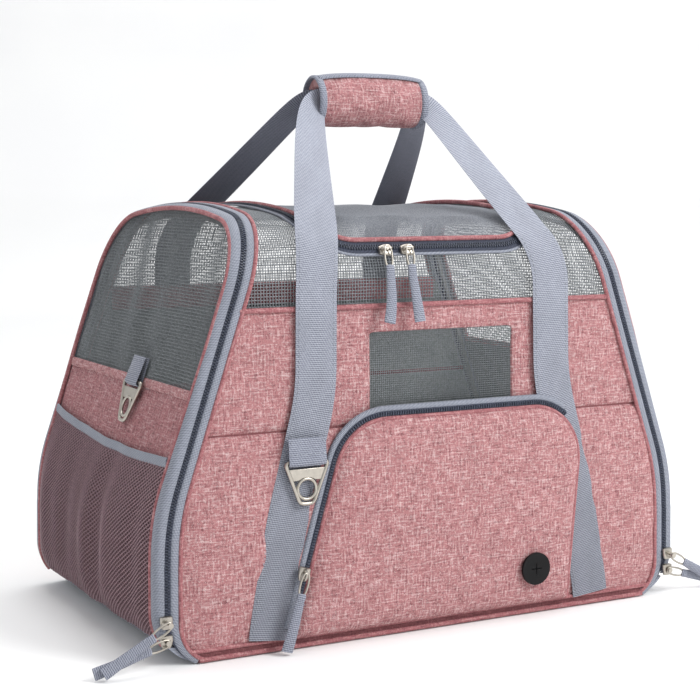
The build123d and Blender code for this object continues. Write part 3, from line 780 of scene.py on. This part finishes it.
def door_tape():
    """Pale tape that rolls from the wrap round onto the end, up to the door's piping."""
    start = float(s_at(DOOR_BOTTOM + 2))
    s = np.linspace(-start, start, 300)
    # each row: how far out along x, lift off the wrap, share of the inset
    outer = ((7.2, 0.9, 0), (10.2, 0.9, 0), (12.3, 0.3, 0), (13.5, -0.4, 0.10), (14.0, -0.5, 0.3),
             (13.9, -0.5, 0.65), (13.8, -0.5, 1))
    inner = ((7.2, -0.7, 0), (10.0, -0.7, 0), (11.5, -1.1, 0), (12.3, -1.7, 0.10), (12.6, -1.8, 0.3),
             (12.5, -1.0, 0.65), (12.4, -0.5, 1))
    inset = door_inset(wrap(s)[1])
    grids = []
    for profile in (outer, inner):
        rows = [(extra, *wrap(s, lift - share * inset)) for extra, lift, share in profile]
        grids.append(np.array([stack(-half_length(z, extra), y, z) for extra, y, z in rows]))
    across = np.array([0, 3, 5.2, 6.8, 8.6, 11.5, 14.5])[:, None]
    both_ends(skin("left_door_tape", *grids, TAPE, "left_door_band", stack(s[None, :], across, 0.0)))


door_tape()
for name, shift, phase, node in (("left_body_teeth", -TOOTH_SHIFT, 0.0, "side_bands"),
                                 ("left_door_teeth", TOOTH_SHIFT, 0.5, "left_door_band")):
    track = ring_track(5.0, 0.9, DOOR_BOTTOM + 15)
    both_ends(studs(name, track, (1.1, 2.4, 1.5), TOOTH_PITCH, TEETH, node, shift, phase))


def sill(name):
    """Rounded bottom of the end, under the door."""
    y = np.linspace(-HALF_DEPTH + 1, HALF_DEPTH - 1, 60)
    z = 0.4 + 13.0 * np.sin(np.linspace(0, math.pi / 2, 8)) ** 2
    section = np.concatenate([stack(-half_length(z, DOOR - 0.5), z), stack(-half_length(z, 0.5), z)[::-1]])
    points = stack(section[None, :, 0], y[:, None], section[None, :, 1]).reshape(-1, 3)
    both_ends(piece(name, points, loft(len(y), len(section)), TAPE, "side_bands", points[:, [1, 2, 0]]))


sill("left_sill")


# ---- straight piping ----
def wall_track(z, side, lift, reach):
    return on_cloth(np.arange(-reach, reach + 0.1, 4.0), side * float(s_at(z)), lift)


BASE_REACH = HALF_LENGTH - CORNER_RADIUS
SEAM_REACH, NET_REACH = float(half_length(LOWER_SEAM)), float(half_length(UPPER_SEAM))
for face, side in FACES:
    for part, z, lift, reach, section, look, node, slot in (
            ("base_cord", 2.2, 1.0, BASE_REACH + 12, circle(1.8), PIPING, "base_piping", TRIM),
            ("base_cord_upper", 8.6, 1.0, BASE_REACH + 18, circle(1.6), PIPING, "base_piping", TRIM),
            # the base strip between the cords and the crease strip in the lower seam's groove are painted shade
            ("base_strip", 5.4, -0.2, BASE_REACH + 14, ribbon(9.6, 1.2), SEAM_SHADE_PINK, "base_piping", TRIM),
            ("crease", LOWER_SEAM + 0.4, -3.2, SEAM_REACH - 1.5, ribbon(7.0, 3.0), SEAM_SHADE_PINK,
             f"{face}_lower_panel", CLOTH),
            ("inner_band", UPPER_SEAM - 8, -5.4, NET_REACH - 3, ribbon(17, 1.4), PIPING,
             f"{face}_upper_panel", CLOTH),
            ("seam_cord", UPPER_SEAM, 0.2, NET_REACH - 2, circle(1.9), PIPING, "seam_piping", TRIM)):
        sweep(f"{face}_{part}", wall_track(z, side, lift, reach), section, look, node, slot)


# ---- roof flap edge ----
def flap_track(grow, lift):
    """Around the flap from its back left corner to its back right one, grow mm outside its edge."""
    radius, half, front = FLAP_CORNER + grow, FLAP_HALF + grow, FLAP_S[0] - grow
    turns = np.linspace(0, math.pi / 2, 16)
    corner = [(-half + radius - radius * math.cos(t), front + radius - radius * math.sin(t)) for t in turns]
    left = [(-half, s) for s in np.arange(FLAP_S[1], front + radius, -4.0)] + corner
    track = resample(np.array(left + [(-x, s) for x, s in left[::-1]]), 2.0)
    return on_cloth(track[:, 0], track[:, 1], lift)


for name, grow, lift, section, look, node in (
        ("flap_cord", -0.6, 0.8, circle(1.8), PIPING, "flap_piping"),
        ("flap_tape", 3.1, -0.4, ribbon(5.0, 1.2), ZIP_TAPE, "flap_zip"),
        ("roof_tape", 8.4, -0.4, ribbon(5.0, 1.2), ZIP_TAPE, "roof_zip"),
        ("roof_tape_edge", 11.2, -0.4, ribbon(2.2, 1.5), TAPE, "roof_zip")):
    sweep(name, flap_track(grow, lift), section, look, node)
path, out = flap_track(5.8, 0.7)
studs("roof_teeth", (path, out), (1.1, 2.6, 1.5), TOOTH_PITCH, TEETH, "roof_zip", TOOTH_SHIFT)
studs("flap_teeth", (path[6:-6], out[6:-6]), (1.1, 2.6, 1.5), TOOTH_PITCH, TEETH, "flap_zip",
      -TOOTH_SHIFT, phase=0.5)

# ---- end doors ----
POCKET_HEM = 139.0                          # height of the end pocket's binding
POCKET_SIDE, POCKET_BASE = 121.0, 17.0      # half its width, and its lower edge
MESH_WIDE, MESH_TALL = 1.2, 0.84            # how its net's diamonds are stretched


def on_door(y, z, extra):
    return stack(-half_length(z, DOOR + extra), y, z)


def on_door_net(y, z, lift):
    return on_door(y, z, lift - NET_DEPTH + 1.1 * billow(y, z))


def door_wall():
    """Lower part of the door, lined inside, in the darker door heather that is painted shade, and with painted
    shadow behind the pocket's net.
    """
    z = np.linspace(DOOR_BOTTOM, DOOR_SEAM, 30)[:, None]
    reach = half_depth(z, door_inset(z) - 1.0)
    y = np.linspace(-1, 1, 40)[None, :] * reach
    edge = np.minimum(np.minimum(z - DOOR_BOTTOM, DOOR_SEAM - z), reach - np.abs(y))
    soft = np.clip(edge / 14, 0, 1)
    swell = 0.6 * soft + 0.8 * soft * rumple(y, z, 40, 4.0)
    obj = skin("left_door_wall", on_door(y, z, swell - 0.4), on_door(y, z, -4.0), DOOR_PINK_IN_SHADE,
               "left_door_panel", stack(y, z, 0.0))
    line_inside(obj, (-1, 0, 0.2))
    # painted shadow: outward faces of the door below the pocket's hem take a dark heather where the net shades the
    # wall
    obj.data.materials.append(POCKET_PAINTED_SHADOW)
    for face in obj.data.polygons:
        if face.normal.x < -0.5 and face.center.z < POCKET_HEM * MM:
            face.material_index = 2
    refine(obj)
    return obj


for obj in both_ends(door_wall()):
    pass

mesh = net("left_door_mesh", on_door_net, lambda y, z: np.abs(y) < half_depth(z, door_inset(z) - 0.5),
           (-130, 130), (DOOR_SEAM - 4, 309), BLACK_NET, "left_door_net", 2.3, 0.3)
for obj in both_ends(mesh):
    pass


def pocket_out(y, z):
    """How far the end pocket stands off the door: gathered folds that fade towards its hems."""
    up = np.clip((z - 18) / 118, 0, 1)
    across = np.maximum(1 - (np.abs(y) / POCKET_SIDE) ** 6, 0)
    belly = np.sin(math.pi * np.clip(up * 0.86 + 0.10, 0, 1)) ** 0.7
    folds = np.sin(y / 12.5 + 1.2 * np.sin(y / 31.0 + 1.0) + 0.9 * up)
    folds = folds + 0.35 * np.sin(y / 5.7 + 2.0 * up + 1.3)
    strength = 0.35 + 0.65 * (1 - np.abs(2 * up - 0.9))
    return np.maximum(1.6 + across * (4.8 * belly + 2.5 * strength * folds), 0.9)


def pocket_top(y):
    return POCKET_HEM - 5.0 * (1 - (np.abs(y) / 117) ** 2) + 0.03 * y


def on_pocket(a, b, lift):
    y, z = a * MESH_WIDE, b * MESH_TALL
    return on_door(y, z, pocket_out(y, z) + lift)


def in_pocket(a, b):
    y, z = a * MESH_WIDE, b * MESH_TALL
    return (np.abs(y) < POCKET_SIDE) & (z > POCKET_BASE) & (z < pocket_top(y) + 3)


wide, tall = POCKET_SIDE / MESH_WIDE, (POCKET_BASE / MESH_TALL, 144 / MESH_TALL)
mesh = net("left_pocket_mesh", on_pocket, in_pocket, (-wide, wide), tall, POCKET_NET, "left_end_pocket",
           2.7, 0.44, slant=45)
for obj in both_ends(mesh):
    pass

y = np.linspace(-POCKET_SIDE - 0.5, POCKET_SIDE + 0.5, 90)
path = on_door(y, pocket_top(y) + 3.0, pocket_out(y, pocket_top(y)) * 0.9 + 0.5)
hem = sweep("left_pocket_hem", (path, (-1, 0, 0.15)), ribbon(7.0, 2.2), TAPE, "left_pocket_binding", GREY)
both_ends(hem)
y = np.linspace(-1, 1, 60) * float(half_depth(DOOR_SEAM, door_inset(DOOR_SEAM) - 1.0))
path = on_door(y, np.full_like(y, DOOR_SEAM), -0.4)
both_ends(sweep("left_door_seam", (path, (-1, 0, 0.3)), ribbon(7.0, 2.4, 0.3), PINK, "left_door_panel"))


# ---- straps and the handle's legs ----
def strap_x(z):
    """Middle of the left straps at height z, eased at its bends."""
    shift = np.arange(-18, 19, 3.0)
    line = np.interp(np.asarray(z)[..., None] + shift, [7, 90, 180, 330], [-139, -124, -100, -98])
    return line.mean(axis=-1)


GRIP = (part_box("grip_wrap")[0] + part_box("grip_wrap")[1]) / 2 / MM
GRIP_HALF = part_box("grip_binding")[1].x / MM
GRIP_RADIUS = 19.0
LEG_TOP = 384.0
STRAP_RADIUS = SHOULDER_RADIUS + STRAP_LIFT
STRAP_EASE = 44.0
LEG_POINTS = 44


def leg_foot(side):
    """Where on the shoulder the strap leaves on its way to the grip."""
    run, rise = side * GRIP.y + 6 - SHOULDER_Y, LEG_TOP - SHOULDER_Z
    angle = math.atan2(rise, run) - math.acos(STRAP_RADIUS / math.hypot(run, rise))
    return s_around(math.pi / 2 - angle)


def curve(corners, count):
    """Smooth path through a control polygon, as a Bezier curve."""
    t = np.linspace(0, 1, count)[:, None]
    corners = np.asarray(corners, float)
    order = len(corners) - 1
    return sum(math.comb(order, k) * (1 - t) ** (order - k) * t ** k * corners[k] for k in range(order + 1))


def strap(face, side, look, leg_slot):
    """Sewn strap up one face and the free leg that carries on from it to the grip, both ends."""
    foot_s = leg_foot(side)
    s = side * np.append(np.arange(float(s_at(9.6)), foot_s, -3.0), foot_s)
    sewn, out = on_cloth(strap_x(wrap(s, STRAP_LIFT)[1]), s, STRAP_LIFT)
    head = np.array([14.0 - GRIP_HALF, GRIP.y + side * 5, LEG_TOP + 5])
    mouth = np.array([-GRIP_HALF - 7.0, GRIP.y + side * 8, LEG_TOP])
    slope = (mouth - sewn[-1])[0] / np.linalg.norm(mouth - sewn[-1])
    eased = np.clip(1 - (np.abs(s) - foot_s) / STRAP_EASE, 0, 1)
    sewn[:, 0] += slope * STRAP_EASE / 2 * eased ** 2
    foot = sewn[-1]
    rise = mouth - foot
    corners = [foot, foot + rise * 0.3, foot + rise * 0.7, mouth, mouth + (1.0, 0, 8.0), head]
    t = np.linspace(0, 1, LEG_POINTS)[:, None]
    normal = out[-1] * (1 - t) + np.array([0, side, 0.0]) * t
    path = np.concatenate([sewn, curve(corners, LEG_POINTS)[1:]])
    normal = np.concatenate([out, normal[1:]])
    width = np.concatenate([np.ones(len(sewn)), 1 - 0.46 * np.clip(t[1:, 0] * 1.15 - 0.1, 0, 1)])
    section = ribbon(STRAP_WIDTH, STRAP_THICK, count=9)
    across = unit(np.cross(np.gradient(sewn, axis=0), out))
    for end, sign in (("left", 1), ("right", -1)):
        flip = np.array([sign, 1, 1])
        track = (path * flip, normal * flip)
        sweep(f"{face}_strap_{end}", track, section, look, f"{face}_straps", scale=width,
              part=slice(len(sewn)))
        leg = sweep(f"{face}_leg_{end}", track, section, look, f"{face}_legs", leg_slot, scale=width,
                    part=slice(len(sewn) - 1, None), ride=False)
        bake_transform(leg)
        for edge in (-1, 1):
            line = sewn + across * edge * (STRAP_WIDTH / 2 - 2.6) + out * 0.85
            track = (line[2:-2] * flip, out[2:-2] * flip)
            studs(f"{face}_strap_{end}_seam{edge + 1}", track, (2.0, 0.5, 0.3), 3.6, GREY_THREAD,
                  f"{face}_straps")


strap("front", -1, STRAP, "light_webbing")
# the back straps and legs take the darker copy of the strap webbing as painted shade
strap("back", 1, BACK_STRAP_IN_SHADE, "dark_webbing")


def grip_skin(turns, along, lift):
    """Padded roll: a rounded section that is fuller in the middle and sags at its ends."""
    full = 1 - 0.10 * np.abs(along / GRIP_HALF) ** 4
    flat = 1 - 0.05 * np.cos(2 * turns)
    radius = (GRIP_RADIUS + lift) * full * flat
    droop = -1.4 * (along / GRIP_HALF) ** 2
    return stack(along, GRIP.y + radius * np.cos(turns) * 0.93, GRIP.z + droop + radius * np.sin(turns))


def grip_held(points):
    """The roll's two ends and its inner face."""
    ends = np.abs(points[:, 0]) > GRIP_HALF - 6
    return ends | (np.hypot(points[:, 1] - GRIP.y, points[:, 2] - GRIP.z) < 13)


def grip():
    along = np.linspace(3 - GRIP_HALF, GRIP_HALF - 3, 34)[:, None]
    turns = around(48)[None, :]
    ripple = 0.35 * rumple(turns * GRIP_RADIUS, along, 14, 7.0)
    outer, inner = grip_skin(turns, along, ripple), grip_skin(turns, along, -8.5)
    rows, count = outer.shape[:2]
    back = rows * count
    faces = []
    for cell in loft(rows, count)[:-2]:
        faces += [cell, tuple(back + v for v in reversed(cell))]
    for first in (0, back - count):
        for k in range(count):
            a, b = first + k, first + (k + 1) % count
            faces.append((b, a, back + a, back + b))
    points = np.concatenate([outer.reshape(-1, 3), inner.reshape(-1, 3)])
    weave = stack(along, turns * GRIP_RADIUS, 0.0).reshape(-1, 3)
    obj = piece("grip_roll", points, faces, PINK, "grip_wrap", np.concatenate([weave, weave]))
    puff(obj, grip_held, pressure=3.0, slack=0.01, cap=1.4)
    refine(obj)


grip()
turns = around(48)
for name, place in (("left", 2.4 - GRIP_HALF), ("right", GRIP_HALF - 2.4)):
    away = stack(0, np.cos(turns), np.sin(turns))
    sweep(f"grip_hem_{name}", (grip_skin(turns, place, 0.0), away), ribbon(6.0, 2.4, 0.5), WEBBING,
          "grip_binding", closed=True)
along = np.linspace(2.4 - GRIP_HALF, GRIP_HALF - 2.4, 40)
seam_turn = math.radians(112)
away = (0, math.cos(seam_turn), math.sin(seam_turn))
path = grip_skin(seam_turn, along, 0.8)
sweep("grip_hem_top", (path, away), ribbon(7.0, 2.0, 0.5), WEBBING, "grip_binding")


# ---- front pocket ----
def pocket_loop(grow, step=4.0):
    """Outline in x and z from the bottom left corner, over the round top, to the bottom right one."""
    (x0, z0), (x1, z1), (x2, z2), (x3, z3) = POCKET
    left = unit(np.array([x1 - x0, z1 - z0]))
    right = unit(np.array([x2 - x3, z2 - z3]))
    points = [np.array([x0, z0]) - grow * np.array([left[1], 0])]
    for edge, base, sign in ((left, (x0, z0), -1), (right, (x3, z3), 1)):
        normal = np.array([edge[1], -edge[0]]) * sign
        across = np.array(base) + edge * (z1 - POCKET_RADIUS - z0) / edge[1]
        centre = np.array([across[0] - sign * POCKET_RADIUS / abs(edge[1]), z1 - POCKET_RADIUS])
        first = math.atan2(normal[1], normal[0])
        ends = (first % math.tau, math.pi / 2) if sign < 0 else (math.pi / 2, first)
        points += [centre + (POCKET_RADIUS + grow) * np.array([math.cos(t), math.sin(t)])
                   for t in np.linspace(*ends, 14)]
    points.append(np.array([x3, z3]) + grow * np.array([right[1], 0]))
    return resample(np.array(points), step)


def front_pocket():
    """The pocket's face, in rings from its outline in to a short line in its middle."""
    loop = pocket_loop(0)
    bottom = stack(np.linspace(loop[-1, 0], loop[0, 0], 60)[1:-1], POCKET[0][1])
    loop = np.concatenate([loop, bottom, loop[:1]])
    spine = stack(np.clip(loop[:, 0], -45, 70), 78.0)
    shares = np.concatenate([[0, 0.008, 0.025, 0.05, 0.09], np.linspace(0.15, 1, 12)])[:, None]
    x = loop[None, :, 0] + (spine - loop)[None, :, 0] * shares
    z = loop[None, :, 1] + (spine - loop)[None, :, 1] * shares
    gap = np.linalg.norm(spine - loop, axis=1)[None, :] * shares
    ease = 1 - np.exp(-gap / 4.0)
    belly = 1 - np.exp(-gap / 45.0)
    lift = 4.6 + 5.6 * ease + 2.6 * belly + 0.7 * rumple(x, z * 1.3, 42, 11.0) * ease
    outer = on_wall(-1, x, z, lift)
    obj = skin("pocket_front", outer, outer + (0, 1.6, 0), PINK, "front_pocket", stack(x, z, 0.0))


front_pocket()


def pocket_track(grow, lift, last_x=1e3, first_z=0.0):
    loop = pocket_loop(grow, 2.0)
    loop = loop[(loop[:, 0] < last_x) & ((loop[:, 1] > first_z) | (loop[:, 0] > 0))]
    return on_wall(-1, loop[:, 0], loop[:, 1], lift), FRONT_OUT


sweep("pocket_cord", pocket_track(-0.6, 5.2), circle(1.7), PIPING, "front_pocket")
path, out = pocket_track(3.0, 4.9, last_x=112.0, first_z=22.0)
sweep("pocket_zip_tape", (path, out), ribbon(4.6, 1.2), ZIP_TAPE, "pocket_zip")
studs("pocket_teeth", (path + (0, -0.9, 0), out), (1.2, 3.0, 1.5), TOOTH_PITCH, TEETH, "pocket_zip")
track = pocket_track(6.4, 3.6, last_x=112.0, first_z=16.0)
sweep("pocket_zip_edge", track, ribbon(4.4, 3.0, 0.4), TAPE, "pocket_zip")


# ---- floor ----
def floor_piece(name, inset, z0, z1, look, node, quilt=0.0):
    """Flat layer on the base, eased down towards its edges; quilt sinks it along sewn lines."""
    x_half, y_half = float(half_length(z1, inset)) - 2, float(half_depth(z1, -inset + 6)) - 1
    x = np.linspace(-x_half, x_half, 60)[None, :]
    y = np.linspace(-y_half, y_half, 36)[:, None]
    edge = np.minimum(x_half - np.abs(x), y_half - np.abs(y))
    crown = (z1 - z0) * 0.45 * (1 - np.exp(-np.maximum(edge, 0) / 6.0))
    lines = np.exp(-(np.minimum(np.abs((x + 60) % 120 - 60), np.abs((y + 40) % 80 - 40)) / 4.0) ** 2)
    top = z0 + (z1 - z0) * 0.5 + crown - quilt * lines
    return skin(name, stack(x, y, top), stack(x, y, z0 + 0 * top), look, node)


mat = floor_piece("soft_mat", -8.0, 7.4, 16.4, FLEECE, "floor_mat", quilt=2.4)
base = floor_piece("base_cloth", -0.5, 0.3, 4.0, LINING, "floor_panel")


# ---- rings and the webbing loops that hold them ----
def joint_at(name):
    return np.array(JOINTS[name]["pos_m"]) / MM


def ring_webbing(name, joint, up, out, width, node, reach):
    """Webbing folded round a ring's bar: up is the way to its sewn end, out is away from the wall."""
    centre = joint_at(joint)
    up, out = unit(np.array(up, float)), unit(np.array(out, float))
    back = [centre + up * h - out * 2.1 for h in (reach, reach * 0.6, 3.0)]
    turns = np.linspace(-math.pi / 2, math.pi / 2, 9)
    fold = [centre + out * 2.5 * math.sin(a) - up * 2.5 * math.cos(a) for a in turns]
    front = [centre + up * h + out * (2.3 - 1.6 * h / reach) for h in (3.0, reach * 0.5, reach * 0.8, reach)]
    path = resample(np.array(back + fold + front), 1.0)
    across = unit(np.cross(up, out))
    normal = np.cross(across, unit(np.gradient(path, axis=0)))
    obj = sweep(name, (path, normal), ribbon(width, 1.4), WEBBING, node)
    for k, h in enumerate((reach * 0.35, reach - 2.5)):
        row = centre + up * h + out * (3.2 - 1.6 * h / reach)
        line = np.array([row - across * (width / 2 - 2), row + across * (width / 2 - 2)])
        seam = studs(f"{name}_seam{k}", (line, out), (1.8, 0.5, 0.4), 2.8, GREY_THREAD, node)
        if "left" in name:
            both_ends(seam)
    return obj


loop = ring_webbing("left_ring_webbing", "left_ring_swing", DOOR_UP, DOOR_OUT, 23, "left_ring_loop", 19)
both_ends(loop)
ring_webbing("strap_ring_webbing", "strap_ring_swing", FRONT_UP, FRONT_OUT, 29, "strap_loop", 17)

RING_CORNERS = np.array([(-16.8, 0.0), (16.8, 0.0), (5.2, -29.5), (-5.2, -29.5)])
RING_EASE = 3.4
RING_PLATE = ((-15.0, -4.6), (15.0, -4.6), (11.4, -13.0), (6.4, -12.8), (3.0, -11.2), (0, -10.8),
              (-3.0, -11.2), (-6.4, -12.8), (-11.4, -13.0))


def ring_wire(name, up, out):
    """Triangle of wire with a round eye, hanging from its bar."""
    centre = joint_at(f"{name}_swing")
    up, out = unit(np.array(up, float)), unit(np.array(out, float))
    across = unit(np.cross(up, out))
    loop = []
    for k, here in enumerate(RING_CORNERS):
        first = here + RING_EASE * unit(RING_CORNERS[k - 1] - here)
        last = here + RING_EASE * unit(RING_CORNERS[(k + 1) % 4] - here)
        loop += list(curve([first, here, last], 7))
    loop = resample(np.array(loop + loop[:1]), 1.2)[:-1]
    eye = circle(7.2, 40) + (0, -19)
    for part, flat, radius in (("frame", loop, 1.45), ("eye", eye, 1.2)):
        path = centre + flat[:, :1] * across + flat[:, 1:] * up
        sweep(f"{name}_{part}", (path, out), circle(radius), NICKEL, name, closed=True)
    points = [centre + x * across + h * up + d * out for d in (-0.7, 0.7) for x, h in RING_PLATE]
    faces = loft(2, len(RING_PLATE))
    web = piece(f"{name}_web", points, faces[-2:] + faces[:-2], NICKEL, name, sharp=35)
    bevel = web.modifiers.new("edge", "BEVEL")
    bevel.width = 0.35 * MM
    bevel.segments = 2


ring_wire("left_ring", DOOR_UP, DOOR_OUT)
ring_wire("right_ring", RIGHT_UP, RIGHT_OUT)
ring_wire("strap_ring", FRONT_UP, FRONT_OUT)

# ---- zip sliders and pulls ----
SLIDER = ((-5.0, 2.4, 2.2), (-4.6, 3.0, 2.8), (-2, 3.9, 3.4), (1, 4.5, 3.6), (4.5, 4.4, 3.0), (5, 3.8, 2.4))
BAIL = ((-4, 3.0), (-4, 5.2), (-3.6, 6.2), (-2.6, 6.6), (0, 6.6), (2.6, 6.6), (3.6, 6.2), (4, 5.2), (4, 3.0))
PULL_WIDTH = 8.0
ROOF_SLIDER_TURN = math.radians(29)


def slider(name, origin, x_way, y_way, z_way, bail=True, length=1.0):
    """Wedge-shaped body with a domed top and a bail over it. SLIDER gives x, half width and height."""
    x_way, y_way, z_way = (np.array(v, float) for v in (x_way, y_way, z_way))
    turns = around(20)
    rings = []
    for x, half, top in SLIDER:
        y = half * power(np.cos(turns), 0.5)
        z = 0.4 + top / 2 + top / 2 * power(np.sin(turns), 0.6)
        rings.append(origin + length * x * x_way + y[:, None] * y_way + z[:, None] * z_way)
    piece(f"{name}_body", np.concatenate(rings), loft(len(rings), 20), NICKEL, name, sharp=40)
    if bail:
        path = [origin + x * x_way + z * z_way for x, z in BAIL]
        flat = unit(np.cross(path[1] - path[0], path[4] - path[0]))
        sweep(f"{name}_bail", (path, flat), circle(0.8, 8), NICKEL, name)


def pull(name, joint, pinned=False, bend=0.0, sway=0.0):
    """Wire link and a folded webbing tab that hang from the joint's axis."""
    eye = joint_at(joint)
    axis = np.array(JOINTS[joint]["axis"], float)
    low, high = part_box(name)
    down = np.array((low + high) / 2) / MM - eye
    down = unit(down - axis * down.dot(axis))
    across = np.cross(down, axis) if pinned else axis
    out = unit(np.cross(across, down))
    if out[1] > 0:
        out = -out
    turns = around(32)
    link = [eye + across * w + down * f
            for w, f in zip(power(np.cos(turns), 0.7) * 3.0, 6.6 - 8.2 * np.sin(turns))]
    sweep(f"{name}_link", (link, out), circle(0.8, 8), NICKEL, name, closed=True)
    far = np.linspace(13.2, 54.5, 26)
    curl = bend * np.sin((far - 13) / 41 * math.pi * 0.9) + 0.9 * np.exp(-((far - 15) / 2.0) ** 2)

    def swayed(points, place):
        return points + sway * ((place - 13) / 41) ** 2 * across

    path = swayed(eye + far[:, None] * down + curl[:, None] * out, far[:, None])
    width = 0.78 + 0.32 * np.clip((far - 15) / 36, 0, 1)
    sweep(f"{name}_tab", (path, out), ribbon(PULL_WIDTH, 2.4, 0.25), WEBBING, name, scale=width)
    for k, place in enumerate((20.0, 51.0)):
        row = swayed(eye + place * down + out * (1.5 + np.interp(place, far, curl)), place)
        line = np.array([row - across * 3.2, row + across * 3.2])
        studs(f"{name}_seam{k}", (line, out), (1.4, 0.5, 0.4), 2.0, GREY_THREAD, name)


for place, x, sway in (("left", -40.0, 5.0), ("right", -22.0, -2.0)):
    y, z = wrap(-s_around(math.pi / 2 - ROOF_SLIDER_TURN))
    way = (0, -math.cos(ROOF_SLIDER_TURN), math.sin(ROOF_SLIDER_TURN))
    slider(f"roof_slider_{place}", (x, float(y), float(z)), (1, 0, 0), np.cross(way, (1, 0, 0)), way)
    pull(f"roof_pull_{place}", f"roof_pull_lift_{place}", bend=1.0, sway=sway)
leg_way = unit(np.array([45.0, 0, 151.0]))
hinge = joint_at("pocket_pull_lift")
slider("pocket_slider", hinge + (0, 6.6, 0), leg_way, (-leg_way[2], 0, leg_way[0]), FRONT_OUT)
pull("pocket_pull", "pocket_pull_lift", bend=1.0)
for end, sign in (("left", 1), ("right", -1)):
    for place in ("upper", "lower"):
        name, eye = f"{end}_{place}_slider", joint_at(f"{end}_{place}_pull_lift")
        base = np.array([eye[0], 0.3 - HALF_DEPTH - 0.6, eye[2]])
        slider(name, base, (0, 0, 1), (sign, 0, 0), FRONT_OUT, bail=False, length=0.9)
        ends = (("pin", 0.9, base[1] - 2.0, 1.6), ("head", 2.0, eye[1] - 1.2, 2.0))
        for part, radius, start, stop in ends:
            rod = stack(eye[0], np.linspace(start, eye[1] - stop, 4), eye[2])
            sweep(f"{name}_{part}", (rod, (0, 0, 1)), circle(radius, 14), NICKEL, name)
        pull(f"{end}_{place}_pull", f"{end}_{place}_pull_lift", True, bend=0.6)


# ---- tether inside ----
def tether():
    low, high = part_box("tether")
    x, y = (low.x + high.x) / 2 / MM, (low.y + high.y) / 2 / MM
    top, bottom = high.z / MM, low.z / MM
    z = np.linspace(top, bottom + 22, 24)
    path = stack(x + 1.2 * np.sin((top - z) / 24), y, z)
    sweep("tether_strap", (path, FRONT_OUT), ribbon(15, 1.6), WEBBING, "tether")
    turns = around(28)
    clip = stack(x + 5.5 * np.cos(turns), y, bottom + 12 + 10.5 * np.sin(turns))
    sweep("tether_clip", (clip, FRONT_OUT), circle(1.2, 8), NICKEL, "tether", closed=True)


tether()

# ---- stitching round the window ----
left, right, bottom, top = WINDOW
for k, (start, end, away) in enumerate((((left, bottom), (left, top), (-3.0, 0)),
                                        ((left, top), (right, top), (0, 3.0)),
                                        ((right, top), (right, bottom), (3.0, 0)))):
    line = resample(np.array([start, end]), 3.0) + away
    track = (on_wall(-1, line[:, 0], line[:, 1], 0.15), FRONT_OUT)
    studs(f"window_seam{k}", track, (2.2, 0.5, 0.3), 3.4, THREAD, "front_upper_panel")

# ---- carried-over CAD nodes ----
KEPT = {"cable_outlet": RUBBER, "base_board": BOARD, "arch_rods": WIRE}
for node, look in KEPT.items():
    frame["nodes"][node].data.materials.clear()
    frame["nodes"][node].data.materials.append(look)

# ---- stage, light and camera ----
VIEW_TURN = math.radians(-28.3)


def stage():
    """Pale floor that curves up into a backdrop behind the carrier."""
    rows = [(-3.0, 0.0), (1.6, 0.0), (2.0, 0.06), (2.4, 0.3), (2.6, 0.7), (2.7, 3.0)]
    track = resample(np.array(rows) / MM, 60)
    across = np.array([-4.0, 4.0]) / MM
    points = np.concatenate([stack(a, track[:, 0], track[:, 1] - 0.2) for a in across])
    count = len(track)
    faces = [(i, i + 1, count + i + 1, count + i) for i in range(count - 1)]
    look = Look("backdrop", None, 0.9)
    tone = look.ramp(look.grain(3, 2.0), (0.3, linear(245, 245, 245, 1.0)), (0.7, linear(249, 249, 248, 1.0)))
    look.tree.links.new(tone, look.shader.inputs["Base Color"])
    mesh = bpy.data.meshes.new("backdrop")
    mesh.from_pydata((points * MM).tolist(), [], faces)
    mesh.shade_smooth()
    mesh.materials.append(look.material)
    obj = bpy.data.objects.new("backdrop", mesh)
    bpy.context.scene.collection.objects.link(obj)
    obj.rotation_euler = (0, 0, VIEW_TURN)


def lamp(name, place, size, watts):
    """Soft round lamp that shines on the middle of the carrier."""
    data = bpy.data.lights.new(name, "AREA")
    data.shape = "DISK"
    data.size = size
    data.energy = watts
    obj = bpy.data.objects.new(name, data)
    obj.location = place
    obj.rotation_euler = (Vector((0, 0, 0.17)) - Vector(place)).to_track_quat("-Z", "Y").to_euler()
    bpy.context.scene.collection.objects.link(obj)


def studio():
    scene = bpy.context.scene
    world = bpy.data.worlds.new("studio")
    world.use_nodes = True
    world.node_tree.nodes["Background"].inputs[0].default_value = (0.97, 0.98, 1.0, 1)
    world.node_tree.nodes["Background"].inputs[1].default_value = 0.72
    scene.world = world
    scene.view_settings.view_transform = "Standard"
    lamp("key", (1.1, -1.6, 1.5), 1.2, 44)
    lamp("top", (0.1, 0.4, 2.0), 1.6, 20)
    camera = bpy.data.objects.new("camera", bpy.data.cameras.new("camera"))
    camera.data.lens = 82.0
    camera.data.sensor_width = 36.0
    camera.location = (-0.603, -1.118, 0.3275)
    camera.rotation_euler = (math.radians(84.0), 0, VIEW_TURN)
    scene.collection.objects.link(camera)
    scene.camera = camera


stage()
studio()
